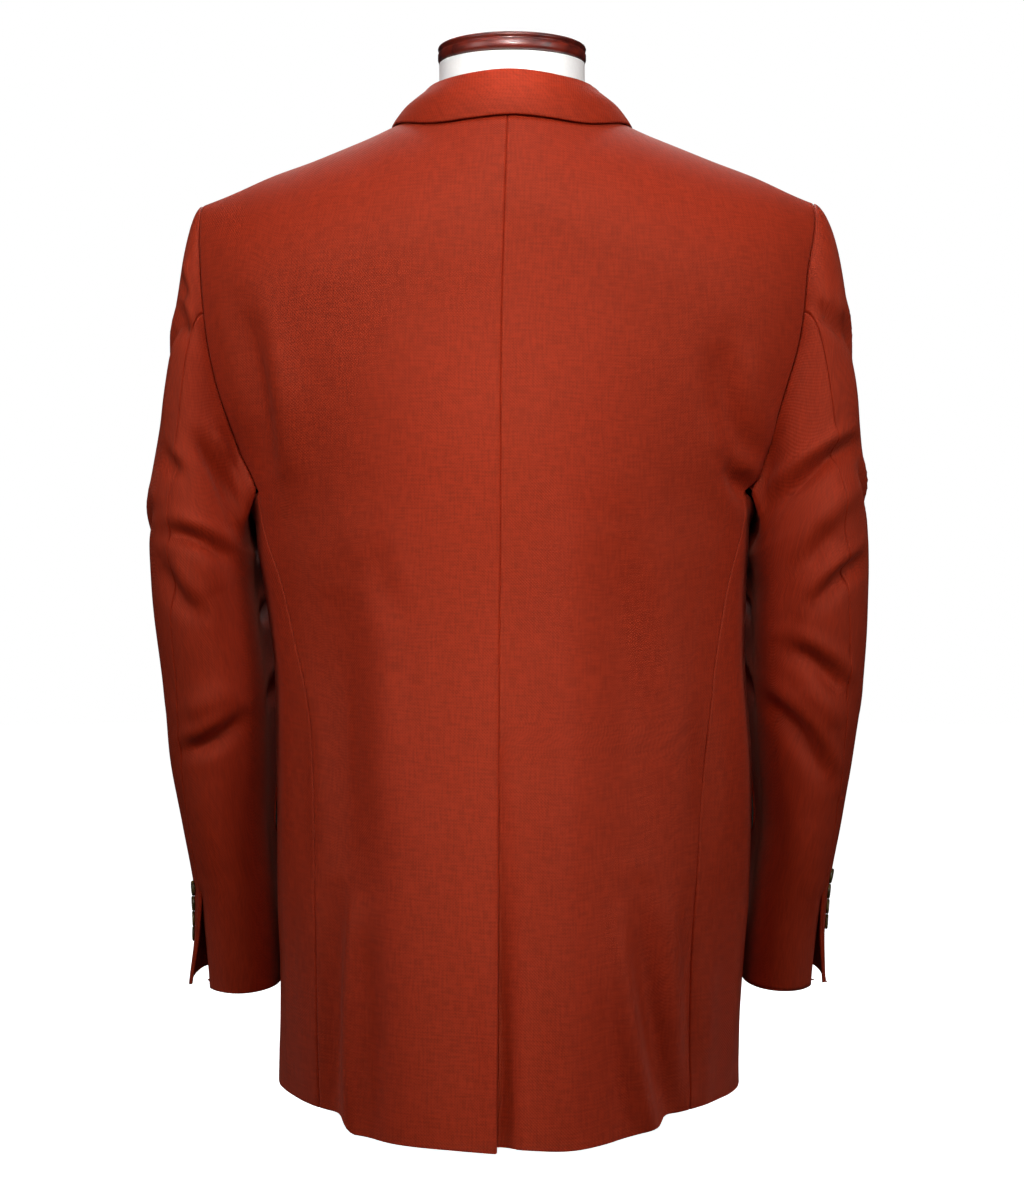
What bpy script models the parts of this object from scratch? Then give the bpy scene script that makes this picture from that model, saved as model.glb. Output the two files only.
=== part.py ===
"""Sport coat on a limbless dress form.

The coat is single-breasted, with notched lapels, two flap pockets, two-piece
sleeves with buttoned cuff vents, and a centre back vent. Each cut piece of cloth
is a wall of its own, lofted between seam curves. Lengths are in metres, +Z is up,
the back of the coat faces +Y and the wearer's left is +X.
"""

import math
from collections import namedtuple

import bpy
import bmesh
from mathutils import Matrix, Vector

# ---------------------------------------------------------------- driving sizes

CLOTH = 0.0016            # wall of wool with its interlining
SEAM_GAP = 0.0003         # clear space between two sewn pieces
SHOULDER_SEAM = 0.0012    # the same between the middles of walls that meet on a ridge
LAYER = 0.0028            # from the middle of one layer to the next one on it
UNDERARM = 0.500          # height where the side seams reach the armholes
SHOULDER_FALL = 0.120     # height over which the shoulder rounds into the back
SHOULDER_ROLL = 0.120     # radius of that rounding, measured along the cloth
NECK_HALF_WIDTH = 0.078   # neck seam, from the centre to the shoulder seam
NECK_BACK = 0.076         # neck seam, from the shoulder seam to the centre back
NECK_LEVEL = 0.792        # height of the neck seam at the centre back
VENT_TOP = 0.300
VENT_UNDERLAP = 0.036
VENT_DEPTH_TOP = 0.0028   # how far the underlap lies below the overlap
VENT_DEPTH_HEM = 0.0085
BREAK_POINT = 0.410       # height where the lapels start to roll
FRONT_OVERLAP = 0.020     # each front passes the centre by this much
OVERLAP_LIFT = 0.0056     # the left front passes over the right lapel
GORGE = 0.098             # from the shoulder seam down to the end of the collar
GORGE_RISE = 0.005        # the gorge seam rises this much towards the lapel's point
ROLL_CLIMB = 0.4715       # length of the roll line's drop, neck to break point
FOLD_RADIUS = 0.0016      # inside the collar's fold
UNDERARM_DIP = 0.013      # the armhole runs lower between the side seams

BACK_SHARE = 0.41         # share of the armhole that lies on the back
FRONT_SHARE = 0.415       # share of it that lies on the front
SLEEVE_SEAM = 0.00090     # between the middles of two walls that meet at an angle
CAP_SEAM = 0.00140        # the same at the armhole
ARMHOLE_CLEAR = (0.0012, 0.0006, 0.0009)  # sleeve to armhole: all round, sides, low
SLEEVE_FRONT_SEAM = 236.0  # turn of the seam at the front of a sleeve, 0 on its outside
CAP_BACK_SEAM = 79.0      # turn where the back seam of a sleeve reaches the armhole
CUFF_VENT = 0.185         # height where the cuff vent opens
CUFF_FLARE = {1: 0.0145, -1: 0.0100}    # the vent's edge stands away, left and right
CAP_OUT = {1: 0.0050, -1: 0.0090}       # how far the sleeve head stands out
CAP_LEAN = {1: 0.22, -1: 0.10}          # slope of the outer line above the elbow

FLAP_FIRST_TURN = 97.0    # turns around the body between which a pocket flap lies
FLAP_LAST_TURN = 139.0
FLAP_TOP = 0.2815
FLAP_HEIGHT = 0.050
FLAP_SLANT = 0.006        # the flap's top runs lower towards the front
FLAP_CORNER = 0.006       # rounding of its lower corners
FLAP_PROUD = 0.0042

FRONT_BUTTON = 0.0200
FRONT_BUTTON_THICK = 0.0036
FRONT_BUTTON_LEVELS = (0.397, 0.297)
CUFF_BUTTON = 0.0120
CUFF_BUTTON_THICK = 0.0022
CUFF_BUTTON_PITCH = 0.0124
CUFF_BUTTON_RISE = {1: 0.0480, -1: 0.0560}  # from the cuff's edge to the first button

BASE_HALF_WIDTH = 0.098
BASE_HALF_DEPTH = 0.046
BASE_THICK = 0.006
BASE_CHAMFER = 0.0012
NECK_LOW = 0.7724
NECK_RADIUS = 0.0575
NECK_FLARE = 0.030
CAP_LOW = 0.8390
CAP_RADIUS = 0.0585

HEM_ROW = 0.030           # height for which the widths of the hem row are read
LEVELS = (0.055, 0.085, 0.125, 0.170, 0.215, 0.260, 0.294, 0.303, 0.340, 0.380, 0.410,
          0.440, 0.470)   # rows of the body's panels between hem and underarm
UPPER_ROWS = 8            # rows above the underarm
BACK_COLUMNS = 11
SIDE_COLUMNS = 6
FRONT_COLUMNS = 9
LAPEL_ROWS = 12
LAPEL_COLUMNS = 5
CAP_ROWS = 6              # rows of a sleeve above its first ring
TOP_COLUMNS = 10
UNDER_COLUMNS = 9
FLAP_ROWS = 3
FLAP_COLUMNS = 7
TORSO_RINGS = 30
NECK_RINGS = 11

# ---------------------------------------------------------------- tables

Section = namedtuple("Section", "height left right back front square")
SECTIONS = (
    # half widths to the left and right, depths to the back and front, squareness
    Section(0.000, 0.182, 0.178, 0.141, 0.126, 2.35),
    Section(0.060, 0.182, 0.178, 0.139, 0.128, 2.35),
    Section(0.120, 0.182, 0.181, 0.136, 0.130, 2.35),
    Section(0.180, 0.184, 0.186, 0.131, 0.131, 2.35),
    Section(0.250, 0.185, 0.189, 0.124, 0.130, 2.35),
    Section(0.305, 0.186, 0.188, 0.118, 0.128, 2.35),
    Section(0.360, 0.187, 0.184, 0.114, 0.128, 2.35),
    Section(0.410, 0.193, 0.184, 0.113, 0.131, 2.35),
    Section(0.450, 0.199, 0.185, 0.115, 0.135, 2.40),
    Section(0.490, 0.203, 0.188, 0.118, 0.138, 2.40),
    Section(0.530, 0.217, 0.204, 0.121, 0.139, 2.40),
    Section(0.570, 0.235, 0.221, 0.123, 0.138, 2.40),
    Section(0.610, 0.246, 0.233, 0.124, 0.134, 2.40),
    Section(0.660, 0.252, 0.240, 0.124, 0.128, 2.40),
    Section(0.720, 0.258, 0.252, 0.122, 0.120, 2.40),
    Section(0.820, 0.262, 0.256, 0.118, 0.114, 2.40),
)

Seam = namedtuple("Seam", "height centre side_left side_right side_front")
SEAMS = (
    # centre back seam, the two side-back seams, and the turn of the side-front seams
    Seam(0.000, 0.0117, 0.1430, 0.1310, 121.0),
    Seam(0.150, 0.0107, 0.1450, 0.1355, 121.0),
    Seam(0.220, 0.0105, 0.1490, 0.1390, 120.0),
    Seam(0.290, 0.0103, 0.1530, 0.1455, 118.0),
    Seam(0.345, 0.0100, 0.1570, 0.1510, 115.0),
    Seam(0.380, 0.0098, 0.1640, 0.1560, 113.0),
    Seam(0.430, 0.0093, 0.1755, 0.1650, 111.0),
    Seam(0.470, 0.0090, 0.1900, 0.1760, 109.0),
    Seam(0.500, 0.0088, 0.1950, 0.1830, 108.0),
    Seam(0.620, 0.0082, 0.2330, 0.2200, 108.0),
    Seam(0.700, 0.0060, 0.2400, 0.2320, 108.0),
    Seam(0.820, 0.0025, 0.2420, 0.2360, 108.0),
)

Armhole = namedtuple("Armhole", "height back_left back_right front_left front_right")
ARMHOLES = (
    Armhole(0.500, 0.1950, 0.1830, 0.1925, 0.1785),
    Armhole(0.514, 0.2010, 0.1900, 0.1915, 0.1780),
    Armhole(0.530, 0.2090, 0.1960, 0.1915, 0.1790),
    Armhole(0.555, 0.2180, 0.2025, 0.1930, 0.1820),
    Armhole(0.580, 0.2260, 0.2100, 0.1980, 0.1880),
    Armhole(0.612, 0.2330, 0.2195, 0.2070, 0.1980),
    Armhole(0.640, 0.2365, 0.2240, 0.2150, 0.2070),
    Armhole(0.670, 0.2395, 0.2270, 0.2210, 0.2140),
    Armhole(0.700, 0.2420, 0.2335, 0.2320, 0.2255),
    Armhole(0.7285, 0.2430, 0.2370, 0.2430, 0.2370),
)

Ridge = namedtuple("Ridge", "out height")
RIDGE = (
    # line of the shoulder seam, from the centre out to the tip
    Ridge(0.000, 0.8200),
    Ridge(0.078, 0.7925),
    Ridge(0.110, 0.7785),
    Ridge(0.150, 0.7625),
    Ridge(0.190, 0.7480),
    Ridge(0.225, 0.7330),
    Ridge(0.245, 0.7255),
    Ridge(0.280, 0.7120),
)

FrontEdge = namedtuple("FrontEdge", "height out")
FRONT_EDGE = (
    # edge of a front, from the hem up the cutaway to the buttons and the break point
    FrontEdge(0.030, 0.078),
    FrontEdge(0.045, 0.060),
    FrontEdge(0.070, 0.042),
    FrontEdge(0.110, 0.023),
    FrontEdge(0.160, 0.006),
    FrontEdge(0.215, -0.009),
    FrontEdge(0.275, -0.018),
    FrontEdge(0.330, -FRONT_OVERLAP),
    FrontEdge(0.410, -FRONT_OVERLAP),
)

Hem = namedtuple("Hem", "turn left right")
HEM = (
    # height of the hem by turn from the centre back round to the front
    Hem(0.0, 0.0122, 0.0150),
    Hem(14.0, 0.0142, 0.0128),
    Hem(27.0, 0.0168, 0.0190),
    Hem(38.0, 0.0205, 0.0260),
    Hem(46.0, 0.0310, 0.0345),
    Hem(55.0, 0.0375, 0.0370),
    Hem(70.0, 0.0415, 0.0385),
    Hem(90.0, 0.0415, 0.0395),
    Hem(121.0, 0.0380, 0.0370),
    Hem(150.0, 0.0330, 0.0330),
    Hem(180.0, 0.0310, 0.0310),
)

Ring = namedtuple("Ring", "height tilt across ahead half_width half_depth seam_turn turn_in")
SLEEVE_LEFT = (
    # sections of the sleeve below the armhole; tilt lifts the outer side, and the front
    # of the sleeve turns in towards the body
    Ring(0.478, 0.026, 0.2470, 0.004, 0.0375, 0.0700, 64.0, 0.0250),
    Ring(0.440, 0.014, 0.2434, 0.005, 0.0400, 0.0680, 62.0, 0.0350),
    Ring(0.395, 0.005, 0.2394, 0.004, 0.0403, 0.0650, 58.0, 0.0360),
    Ring(0.345, 0.000, 0.2343, 0.000, 0.0393, 0.0620, 54.0, 0.0347),
    Ring(0.290, 0.000, 0.2316, -0.006, 0.0372, 0.0585, 50.0, 0.0341),
    Ring(0.240, 0.000, 0.2275, -0.012, 0.0330, 0.0545, 46.0, 0.0332),
    Ring(0.190, 0.000, 0.2212, -0.017, 0.0312, 0.0505, 42.0, 0.0223),
    Ring(0.150, 0.000, 0.2168, -0.020, 0.0299, 0.0480, 33.0, 0.0167),
    Ring(0.110, 0.000, 0.2140, -0.022, 0.0285, 0.0460, 28.0, 0.0145),
)
SLEEVE_RIGHT = (
    Ring(0.478, 0.026, 0.2350, 0.004, 0.0420, 0.0700, 64.0, 0.0235),
    Ring(0.440, 0.014, 0.2355, 0.005, 0.0440, 0.0680, 62.0, 0.0349),
    Ring(0.395, 0.005, 0.2347, 0.004, 0.0437, 0.0650, 58.0, 0.0349),
    Ring(0.345, 0.000, 0.2338, 0.000, 0.0413, 0.0620, 54.0, 0.0343),
    Ring(0.290, 0.000, 0.2320, -0.006, 0.0360, 0.0585, 50.0, 0.0332),
    Ring(0.240, 0.000, 0.2291, -0.012, 0.0306, 0.0545, 46.0, 0.0327),
    Ring(0.190, 0.000, 0.2218, -0.017, 0.0289, 0.0505, 42.0, 0.0223),
    Ring(0.150, 0.000, 0.2162, -0.020, 0.0283, 0.0480, 33.0, 0.0170),
    Ring(0.112, 0.000, 0.2125, -0.022, 0.0275, 0.0460, 28.0, 0.0150),
)

Station = namedtuple("Station", "base_x base_y fold_x fold_y rise edge_x edge_y lift")
COLLAR = (
    # half of the collar from the centre back: foot of the stand, fold and its rise over
    # the shoulders, edge of the fall and its lift off the shoulders
    Station(0.0000, 0.0750, 0.0000, 0.0800, 0.0290, 0.0000, 0.0905, 0.0048),
    Station(0.0260, 0.0707, 0.0235, 0.0755, 0.0280, 0.0280, 0.0870, 0.0046),
    Station(0.0490, 0.0573, 0.0435, 0.0625, 0.0255, 0.0560, 0.0750, 0.0042),
    Station(0.0665, 0.0362, 0.0600, 0.0410, 0.0215, 0.0770, 0.0530, 0.0038),
    Station(0.0750, 0.0162, 0.0690, 0.0170, 0.0165, 0.0900, 0.0240, 0.0034),
    Station(0.0790, -0.0050, 0.0725, -0.0080, 0.0115, 0.0955, -0.0080, 0.0034),
    Station(0.0775, -0.0280, 0.0712, -0.0310, 0.0085, 0.0990, -0.0320, 0.0036),
    Station(0.0725, -0.0500, 0.0675, -0.0530, 0.0072, 0.1030, -0.0530, 0.0042),
    Station(0.0670, -0.0640, 0.0628, -0.0690, 0.0068, 0.1050, -0.0690, 0.0046),
    Station(0.0620, -0.0780, 0.0585, -0.0840, 0.0068, 0.0930, -0.0850, 0.0046),
)

Lapel = namedtuple("Lapel", "share width")
LAPEL = (
    # width of the lapel by share of the roll line, from the break point up
    Lapel(0.00, 0.006),
    Lapel(0.12, 0.026),
    Lapel(0.30, 0.045),
    Lapel(0.50, 0.060),
    Lapel(0.70, 0.071),
    Lapel(0.88, 0.079),
    Lapel(1.00, 0.082),
)

Torso = namedtuple("Torso", "height half_width back front")
TORSO = (
    Torso(0.0063, 0.112, 0.060, 0.060),
    Torso(0.0400, 0.146, 0.092, 0.088),
    Torso(0.0900, 0.160, 0.110, 0.104),
    Torso(0.1500, 0.165, 0.113, 0.110),
    Torso(0.2300, 0.166, 0.108, 0.112),
    Torso(0.3200, 0.164, 0.101, 0.112),
    Torso(0.3900, 0.164, 0.099, 0.116),
    Torso(0.4400, 0.168, 0.100, 0.121),
    Torso(0.5000, 0.176, 0.105, 0.126),
    Torso(0.5500, 0.188, 0.109, 0.126),
    Torso(0.6100, 0.200, 0.111, 0.121),
    Torso(0.6600, 0.208, 0.111, 0.114),
    Torso(0.7000, 0.210, 0.108, 0.107),
    Torso(0.7200, 0.205, 0.104, 0.101),
    Torso(0.7400, 0.186, 0.094, 0.091),
    Torso(0.7560, 0.148, 0.090, 0.086),
    Torso(0.7720, 0.102, 0.084, 0.080),
)

MATERIALS = {
    # colour, roughness, metallic
    "wool": ((0.318, 0.033, 0.014), 0.85, 0.0),
    "horn": ((0.045, 0.030, 0.014), 0.35, 0.0),
    "jersey": ((0.790, 0.770, 0.730), 0.90, 0.0),
    "mahogany": ((0.080, 0.012, 0.006), 0.20, 0.0),
}

# ---------------------------------------------------------------- shared maths


def read(table, key, value):
    """Smooth value of every column of a table at a place along its first column."""
    keys = [row[0] for row in table]
    if keys[0] > keys[-1]:
        table = tuple(reversed(table))
        keys.reverse()
    value = min(max(value, keys[0]), keys[-1])
    low = max(i for i in range(len(keys) - 1) if keys[i] <= value)
    high = low + 1
    before = max(low - 1, 0)
    after = min(high + 1, len(keys) - 1)
    span = keys[high] - keys[low]
    t = (value - keys[low]) / span
    column = table[0]._fields.index(key)

    def slope(i, j):
        return (table[j][column] - table[i][column]) / (keys[j] - keys[i])

    start = slope(before, high) * span
    end = slope(low, after) * span
    a, b = table[low][column], table[high][column]
    return ((2 * t**3 - 3 * t**2 + 1) * a + (t**3 - 2 * t**2 + t) * start
            + (3 * t**2 - 2 * t**3) * b + (t**3 - t**2) * end)


def ease(value, low, high):
    """0 below low, 1 above high, and a smooth rise between."""
    t = min(max((value - low) / (high - low), 0.0), 1.0)
    return t * t * (3 - 2 * t)


def blend(a, b, t):
    return a + (b - a) * t


def side_name(side):
    return "left" if side > 0 else "right"


# ---------------------------------------------------------------- body surface
# side is 1 for the wearer's left and -1 for the right; face is 1 for the back and
# -1 for the front. "climb" is the way along the cloth down from the shoulder line.


def depth_at(side, face, out, height):
    """Depth of the body below the shoulders, from the mid plane to the cloth."""
    half = read(SECTIONS, side_name(side), height)
    deep = read(SECTIONS, "back" if face > 0 else "front", height)
    square = read(SECTIONS, "square", height)
    share = min(abs(out) / half, 1.0)
    return deep * (1.0 - share**square) ** (1.0 / square)


def climb_of(out, height):
    """Way along the cloth from the shoulder line down to a height."""
    drop = read(RIDGE, "height", abs(out)) - height
    if drop < SHOULDER_FALL:
        return SHOULDER_ROLL * math.acos(1.0 - max(drop, 0.0) / SHOULDER_FALL)
    return SHOULDER_ROLL * math.pi / 2 + drop - SHOULDER_FALL


def upper_point(side, face, out, climb):
    """Point of the upper body from its distance out and its way down."""
    turn = min(climb / SHOULDER_ROLL, math.pi / 2)
    drop = SHOULDER_FALL * (1.0 - math.cos(turn))
    drop += max(climb - SHOULDER_ROLL * math.pi / 2, 0.0)
    height = read(RIDGE, "height", abs(out)) - drop
    deep = max(depth_at(side, face, out, height) * math.sin(turn), SHOULDER_SEAM / 2)
    return Vector((out, face * deep, height))


def height_over(side, out, deep):
    """Height of the shoulder surface over a point of the plan."""
    face = 1 if deep >= 0 else -1
    full = depth_at(side, face, out, 0.74)
    turn = math.asin(min(abs(deep) / full, 1.0))
    return read(RIDGE, "height", abs(out)) - SHOULDER_FALL * (1.0 - math.cos(turn))


def ring_point(side, turn, height):
    """Point of the body from its turn, 0 at the centre back and 180 at the front."""
    half = read(SECTIONS, side_name(side), height)
    out = half * math.sin(math.radians(turn))
    face = 1 if abs(turn) <= 90 else -1
    return Vector((side * out, face * depth_at(side, face, out, height), height))


def turn_of(side, face, out, height):
    """Turn of a point from its distance out."""
    half = read(SECTIONS, side_name(side), height)
    turn = math.degrees(math.asin(max(-1.0, min(out / half, 1.0))))
    return turn if face > 0 else 180.0 - turn


def lifted(grid, lift):
    """Points of a grid moved away from the body, square to it, by lift(point)."""
    rows, columns = len(grid), len(grid[0])
    moved = []
    for i in range(rows):
        line = []
        for j in range(columns):
            up = grid[min(i + 1, rows - 1)][j] - grid[max(i - 1, 0)][j]
            along = grid[i][min(j + 1, columns - 1)] - grid[i][max(j - 1, 0)]
            normal = along.cross(up).normalized()
            point = grid[i][j]
            if normal.dot(Vector((point.x, point.y, 0.0))) < 0:
                normal.negate()
            line.append(point + normal * lift(point))
        moved.append(line)
    return moved


def armhole_at(side, face, share):
    """Point (out, climb) of an armhole, from 0 at the shoulder tip to 1 at the underarm."""
    key = ("back_" if face > 0 else "front_") + side_name(side)
    tip_out = getattr(ARMHOLES[-1], key)
    if share <= 0.0:
        return tip_out, 0.0
    tip = read(RIDGE, "height", tip_out)
    climb = climb_of(tip_out, UNDERARM) * share
    drop = SHOULDER_FALL * (1.0 - math.cos(min(climb / SHOULDER_ROLL, math.pi / 2)))
    drop += max(climb - SHOULDER_ROLL * math.pi / 2, 0.0)
    level = tip - drop
    out = read(ARMHOLES, key, level)
    return out, climb_of(out, level)


def armhole_point(side, face, share):
    out, climb = armhole_at(side, face, share)
    return upper_point(side, face, side * out, climb)


def coons(bottom, top, start, end):
    """Grid between four edges, each a function of 0..1 that gives (out, climb)."""
    corner_a, corner_b = bottom(0.0), bottom(1.0)
    corner_c, corner_d = top(0.0), top(1.0)

    def at(u, v):
        values = []
        for axis in (0, 1):
            sides = blend(start(v)[axis], end(v)[axis], u)
            ends = blend(bottom(u)[axis], top(u)[axis], v)
            low = blend(corner_a[axis], corner_b[axis], u)
            high = blend(corner_c[axis], corner_d[axis], u)
            values.append(sides + ends - blend(low, high, v))
        return values

    return at


# ---------------------------------------------------------------- making objects


def new_material(name):
    colour, roughness, metallic = MATERIALS[name.split(".")[0]]
    material = bpy.data.materials.new(name)
    material.use_nodes = True
    shader = material.node_tree.nodes["Principled BSDF"]
    shader.inputs["Base Color"].default_value = (*colour, 1.0)
    shader.inputs["Roughness"].default_value = roughness
    shader.inputs["Metallic"].default_value = metallic
    return material


def new_object(name, mesh, material):
    thing = bpy.data.objects.new(name, mesh)
    thing.data.materials.append(new_material(f"{material}.{name}"))
    bpy.data.collections["sport_coat"].objects.link(thing)
    return thing


def cloth(name, grid):
    """Wall of cloth whose middle lies on a grid of points, given row by row."""
    bm = bmesh.new()
    points = [[bm.verts.new(point) for point in row] for row in grid]
    for low, high in zip(points, points[1:]):
        for j in range(len(low) - 1):
            bm.faces.new((low[j], low[j + 1], high[j + 1], high[j]))
    mesh = bpy.data.meshes.new(name)
    bm.to_mesh(mesh)
    bm.free()
    thing = new_object(name, mesh, "wool")
    shell = thing.modifiers.new("wall", "SOLIDIFY")
    shell.thickness = CLOTH
    shell.offset = 0.0
    mesh.shade_smooth()
    return thing


def closed_loft(name, rings, material):
    """Closed solid through rings of points, with flat ends."""
    bm = bmesh.new()
    loops = [[bm.verts.new(point) for point in ring] for ring in rings]
    count = len(loops[0])
    for low, high in zip(loops, loops[1:]):
        for j in range(count):
            k = (j + 1) % count
            bm.faces.new([low[j], low[k], high[k], high[j]])
    bm.faces.new(list(reversed(loops[0])))
    bm.faces.new(loops[-1])
    mesh = bpy.data.meshes.new(name)
    bm.to_mesh(mesh)
    bm.free()
    thing = new_object(name, mesh, material)
    mesh.shade_smooth()
    mesh.set_sharp_from_angle(angle=math.radians(40))
    return thing


def button(name, place, facing, diameter, thick):
    """Round sew-through button: a turned disc with a rounded rim and a dished face."""
    radius = diameter / 2
    profile = (
        (0.0, thick * 0.72),
        (radius * 0.62, thick * 0.72),
        (radius * 0.74, thick),
        (radius * 0.94, thick * 0.90),
        (radius, thick * 0.50),
        (radius * 0.90, 0.0),
        (0.0, 0.0),
    )
    bm = bmesh.new()
    corners = [bm.verts.new((out, 0.0, up)) for out, up in profile]
    for a, b in zip(corners, corners[1:]):
        bm.edges.new((a, b))
    mesh = bpy.data.meshes.new(name)
    bm.to_mesh(mesh)
    bm.free()
    thing = new_object(name, mesh, "horn")
    turned = thing.modifiers.new("turned", "SCREW")
    turned.steps = 16
    turned.render_steps = 16
    turned.use_merge_vertices = True
    turned.merge_threshold = 0.00005
    turn = Vector((0, 0, 1)).rotation_difference(facing).to_matrix().to_4x4()
    thing.matrix_world = Matrix.Translation(place) @ turn
    return thing


# ---------------------------------------------------------------- back, sides, fronts

def level_row(side, height, first, last, columns, hem=False):
    """Row of body points between two turns, at one height or along the hem."""
    row = []
    for j in range(columns):
        turn = blend(first, last, j / (columns - 1))
        level = read(HEM, side_name(side), abs(turn)) if hem else height
        row.append(ring_point(side, turn, level))
    return row


def row_reader(row, side):
    """Function of 0..1 that gives (out, climb) along a row of points."""
    def at(share):
        place = share * (len(row) - 1)
        low = min(int(place), len(row) - 2)
        point = row[low].lerp(row[low + 1], place - low)
        return point.x * side, climb_of(point.x, point.z)

    return at


def back_start(side, height):
    """Distance out of the centre edge of a back panel."""
    seam = side * read(SEAMS, "centre", height)
    if side < 0 and height < VENT_TOP:
        return seam - VENT_UNDERLAP
    return seam + SEAM_GAP / 2 + 0.0002 * ease(height, 0.70, 0.78)


def vent_sink(side, point):
    """The right back lies under the left one along the vent."""
    if side > 0 or point.z > 0.40:
        return 0.0
    sink = VENT_DEPTH_TOP * (1.0 - ease(point.z, 0.312, 0.362))
    sink += (VENT_DEPTH_HEM - VENT_DEPTH_TOP) * (1.0 - ease(point.z, 0.02, VENT_TOP))
    return -sink * ease(point.x, -0.028, 0.006)


def neck_seam(side, share):
    """Back neck seam (out, climb) from the centre back round to the shoulder seam."""
    first = math.asin(back_start(side, NECK_LEVEL) / NECK_HALF_WIDTH)
    turn = blend(first, math.pi / 2, share)
    out = NECK_HALF_WIDTH * math.sin(turn)
    deep = NECK_BACK * math.cos(turn)
    full = depth_at(side, 1, out, NECK_LEVEL)
    return out, SHOULDER_ROLL * math.asin(deep / full)


def back_top(side):
    """Top edge of a back panel: the neck seam, then the shoulder seam."""
    tip_out = armhole_at(side, 1, 0.0)[0]

    def at(share):
        if share < 0.5:
            return neck_seam(side, 2.0 * share)
        return blend(NECK_HALF_WIDTH, tip_out, 2.0 * share - 1.0), 0.0

    return at


def add_upper_rows(rows, side, face, top, start, end):
    """Rows above the underarm, between the centre edge, the armhole and the top edge."""
    at = coons(row_reader(rows[-1], side), top, start, end)
    columns = len(rows[-1])
    for i in range(1, UPPER_ROWS + 1):
        row = []
        for j in range(columns):
            out, climb = at(j / (columns - 1), i / UPPER_ROWS)
            row.append(upper_point(side, face, side * out, climb))
        rows.append(row)


def make_back(side):
    seam_key = "side_" + side_name(side)
    rows = []
    for level in (HEM_ROW, *LEVELS, UNDERARM):
        seam = read(SEAMS, seam_key, level) - SEAM_GAP / 2
        first = turn_of(side, 1, back_start(side, level), level)
        last = turn_of(side, 1, seam, level)
        rows.append(level_row(side, level, first, last, BACK_COLUMNS, hem=not rows))
    top = back_top(side)
    low_climb = row_reader(rows[-1], side)(0.0)[1]
    high_climb = top(0.0)[1]

    def start(share):
        climb = blend(low_climb, high_climb, share)
        level = upper_point(side, 1, 0.0, climb).z
        return back_start(side, level), climb

    def end(share):
        return armhole_at(side, 1, 1.0 - share)

    add_upper_rows(rows, side, 1, top, start, end)
    grid = lifted(rows, lambda point: vent_sink(side, point))
    cloth("back_" + side_name(side), grid)


def make_side(side):
    """Underarm panel between the back and the front."""
    seam_key = "side_" + side_name(side)
    rows = []
    for level in (HEM_ROW, *LEVELS, UNDERARM):
        seam = read(SEAMS, seam_key, level) + SEAM_GAP / 2
        first = turn_of(side, 1, seam, level)
        last = read(SEAMS, "side_front", level)
        row = level_row(side, level, first, last, SIDE_COLUMNS, hem=not rows)
        if level == UNDERARM:
            for j, point in enumerate(row):
                point.z -= UNDERARM_DIP * math.sin(math.pi * j / (SIDE_COLUMNS - 1))
        rows.append(row)
    cloth("side_" + side_name(side), rows)
    return rows[-1]


def roll_out(climb):
    """Distance out of the roll line at a way down from the shoulder seam."""
    return blend(NECK_HALF_WIDTH, -FRONT_OVERLAP, climb / ROLL_CLIMB)


def front_start(height):
    """Distance out of the front edge, or of the roll line above the break point."""
    if height > BREAK_POINT:
        return roll_out(climb_of(0.03, height))
    return read(FRONT_EDGE, "out", height)


def front_lift(side, point):
    """The left front passes over the right one, and lies on the body further out."""
    if side < 0:
        return 0.0
    near = 1.0 - ease(point.x, 0.024, 0.080)
    return OVERLAP_LIFT * near * (1.0 - ease(point.z, 0.48, 0.60))


def make_front(side):
    rows = []
    for level in (HEM_ROW, *LEVELS, UNDERARM):
        gap = math.degrees(SEAM_GAP / read(SECTIONS, side_name(side), level))
        first = turn_of(side, -1, front_start(level), level)
        last = read(SEAMS, "side_front", level) + gap
        rows.append(level_row(side, level, first, last, FRONT_COLUMNS, hem=not rows))
    tip_out = armhole_at(side, -1, 0.0)[0]
    low_climb = row_reader(rows[-1], side)(0.0)[1]

    def top(share):
        return blend(NECK_HALF_WIDTH, tip_out, share), 0.0

    def start(share):
        climb = blend(low_climb, 0.0, share)
        return roll_out(climb), climb

    def end(share):
        return armhole_at(side, -1, 1.0 - share)

    add_upper_rows(rows, side, -1, top, start, end)
    grid = lifted(rows, lambda point: front_lift(side, point))
    cloth("front_" + side_name(side), grid)


def make_lapel(side):
    """Turned-back lapel, lying on its front from the roll line out to its edge."""
    rows = []
    for i in range(LAPEL_ROWS + 1):
        share = i / LAPEL_ROWS
        width = read(LAPEL, "width", share)
        row = []
        for j in range(LAPEL_COLUMNS):
            across = j / (LAPEL_COLUMNS - 1)
            climb = blend(ROLL_CLIMB - 0.006, GORGE + 0.004, share)
            slant = share * share * GORGE_RISE * across
            out = roll_out(climb) + 0.0012 + width * across
            row.append(upper_point(side, -1, side * out, climb - slant))
        rows.append(row)

    def lift(point):
        return LAYER + front_lift(side, point)

    cloth("lapel_" + side_name(side), lifted(rows, lift))


# ---------------------------------------------------------------- collar

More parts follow.
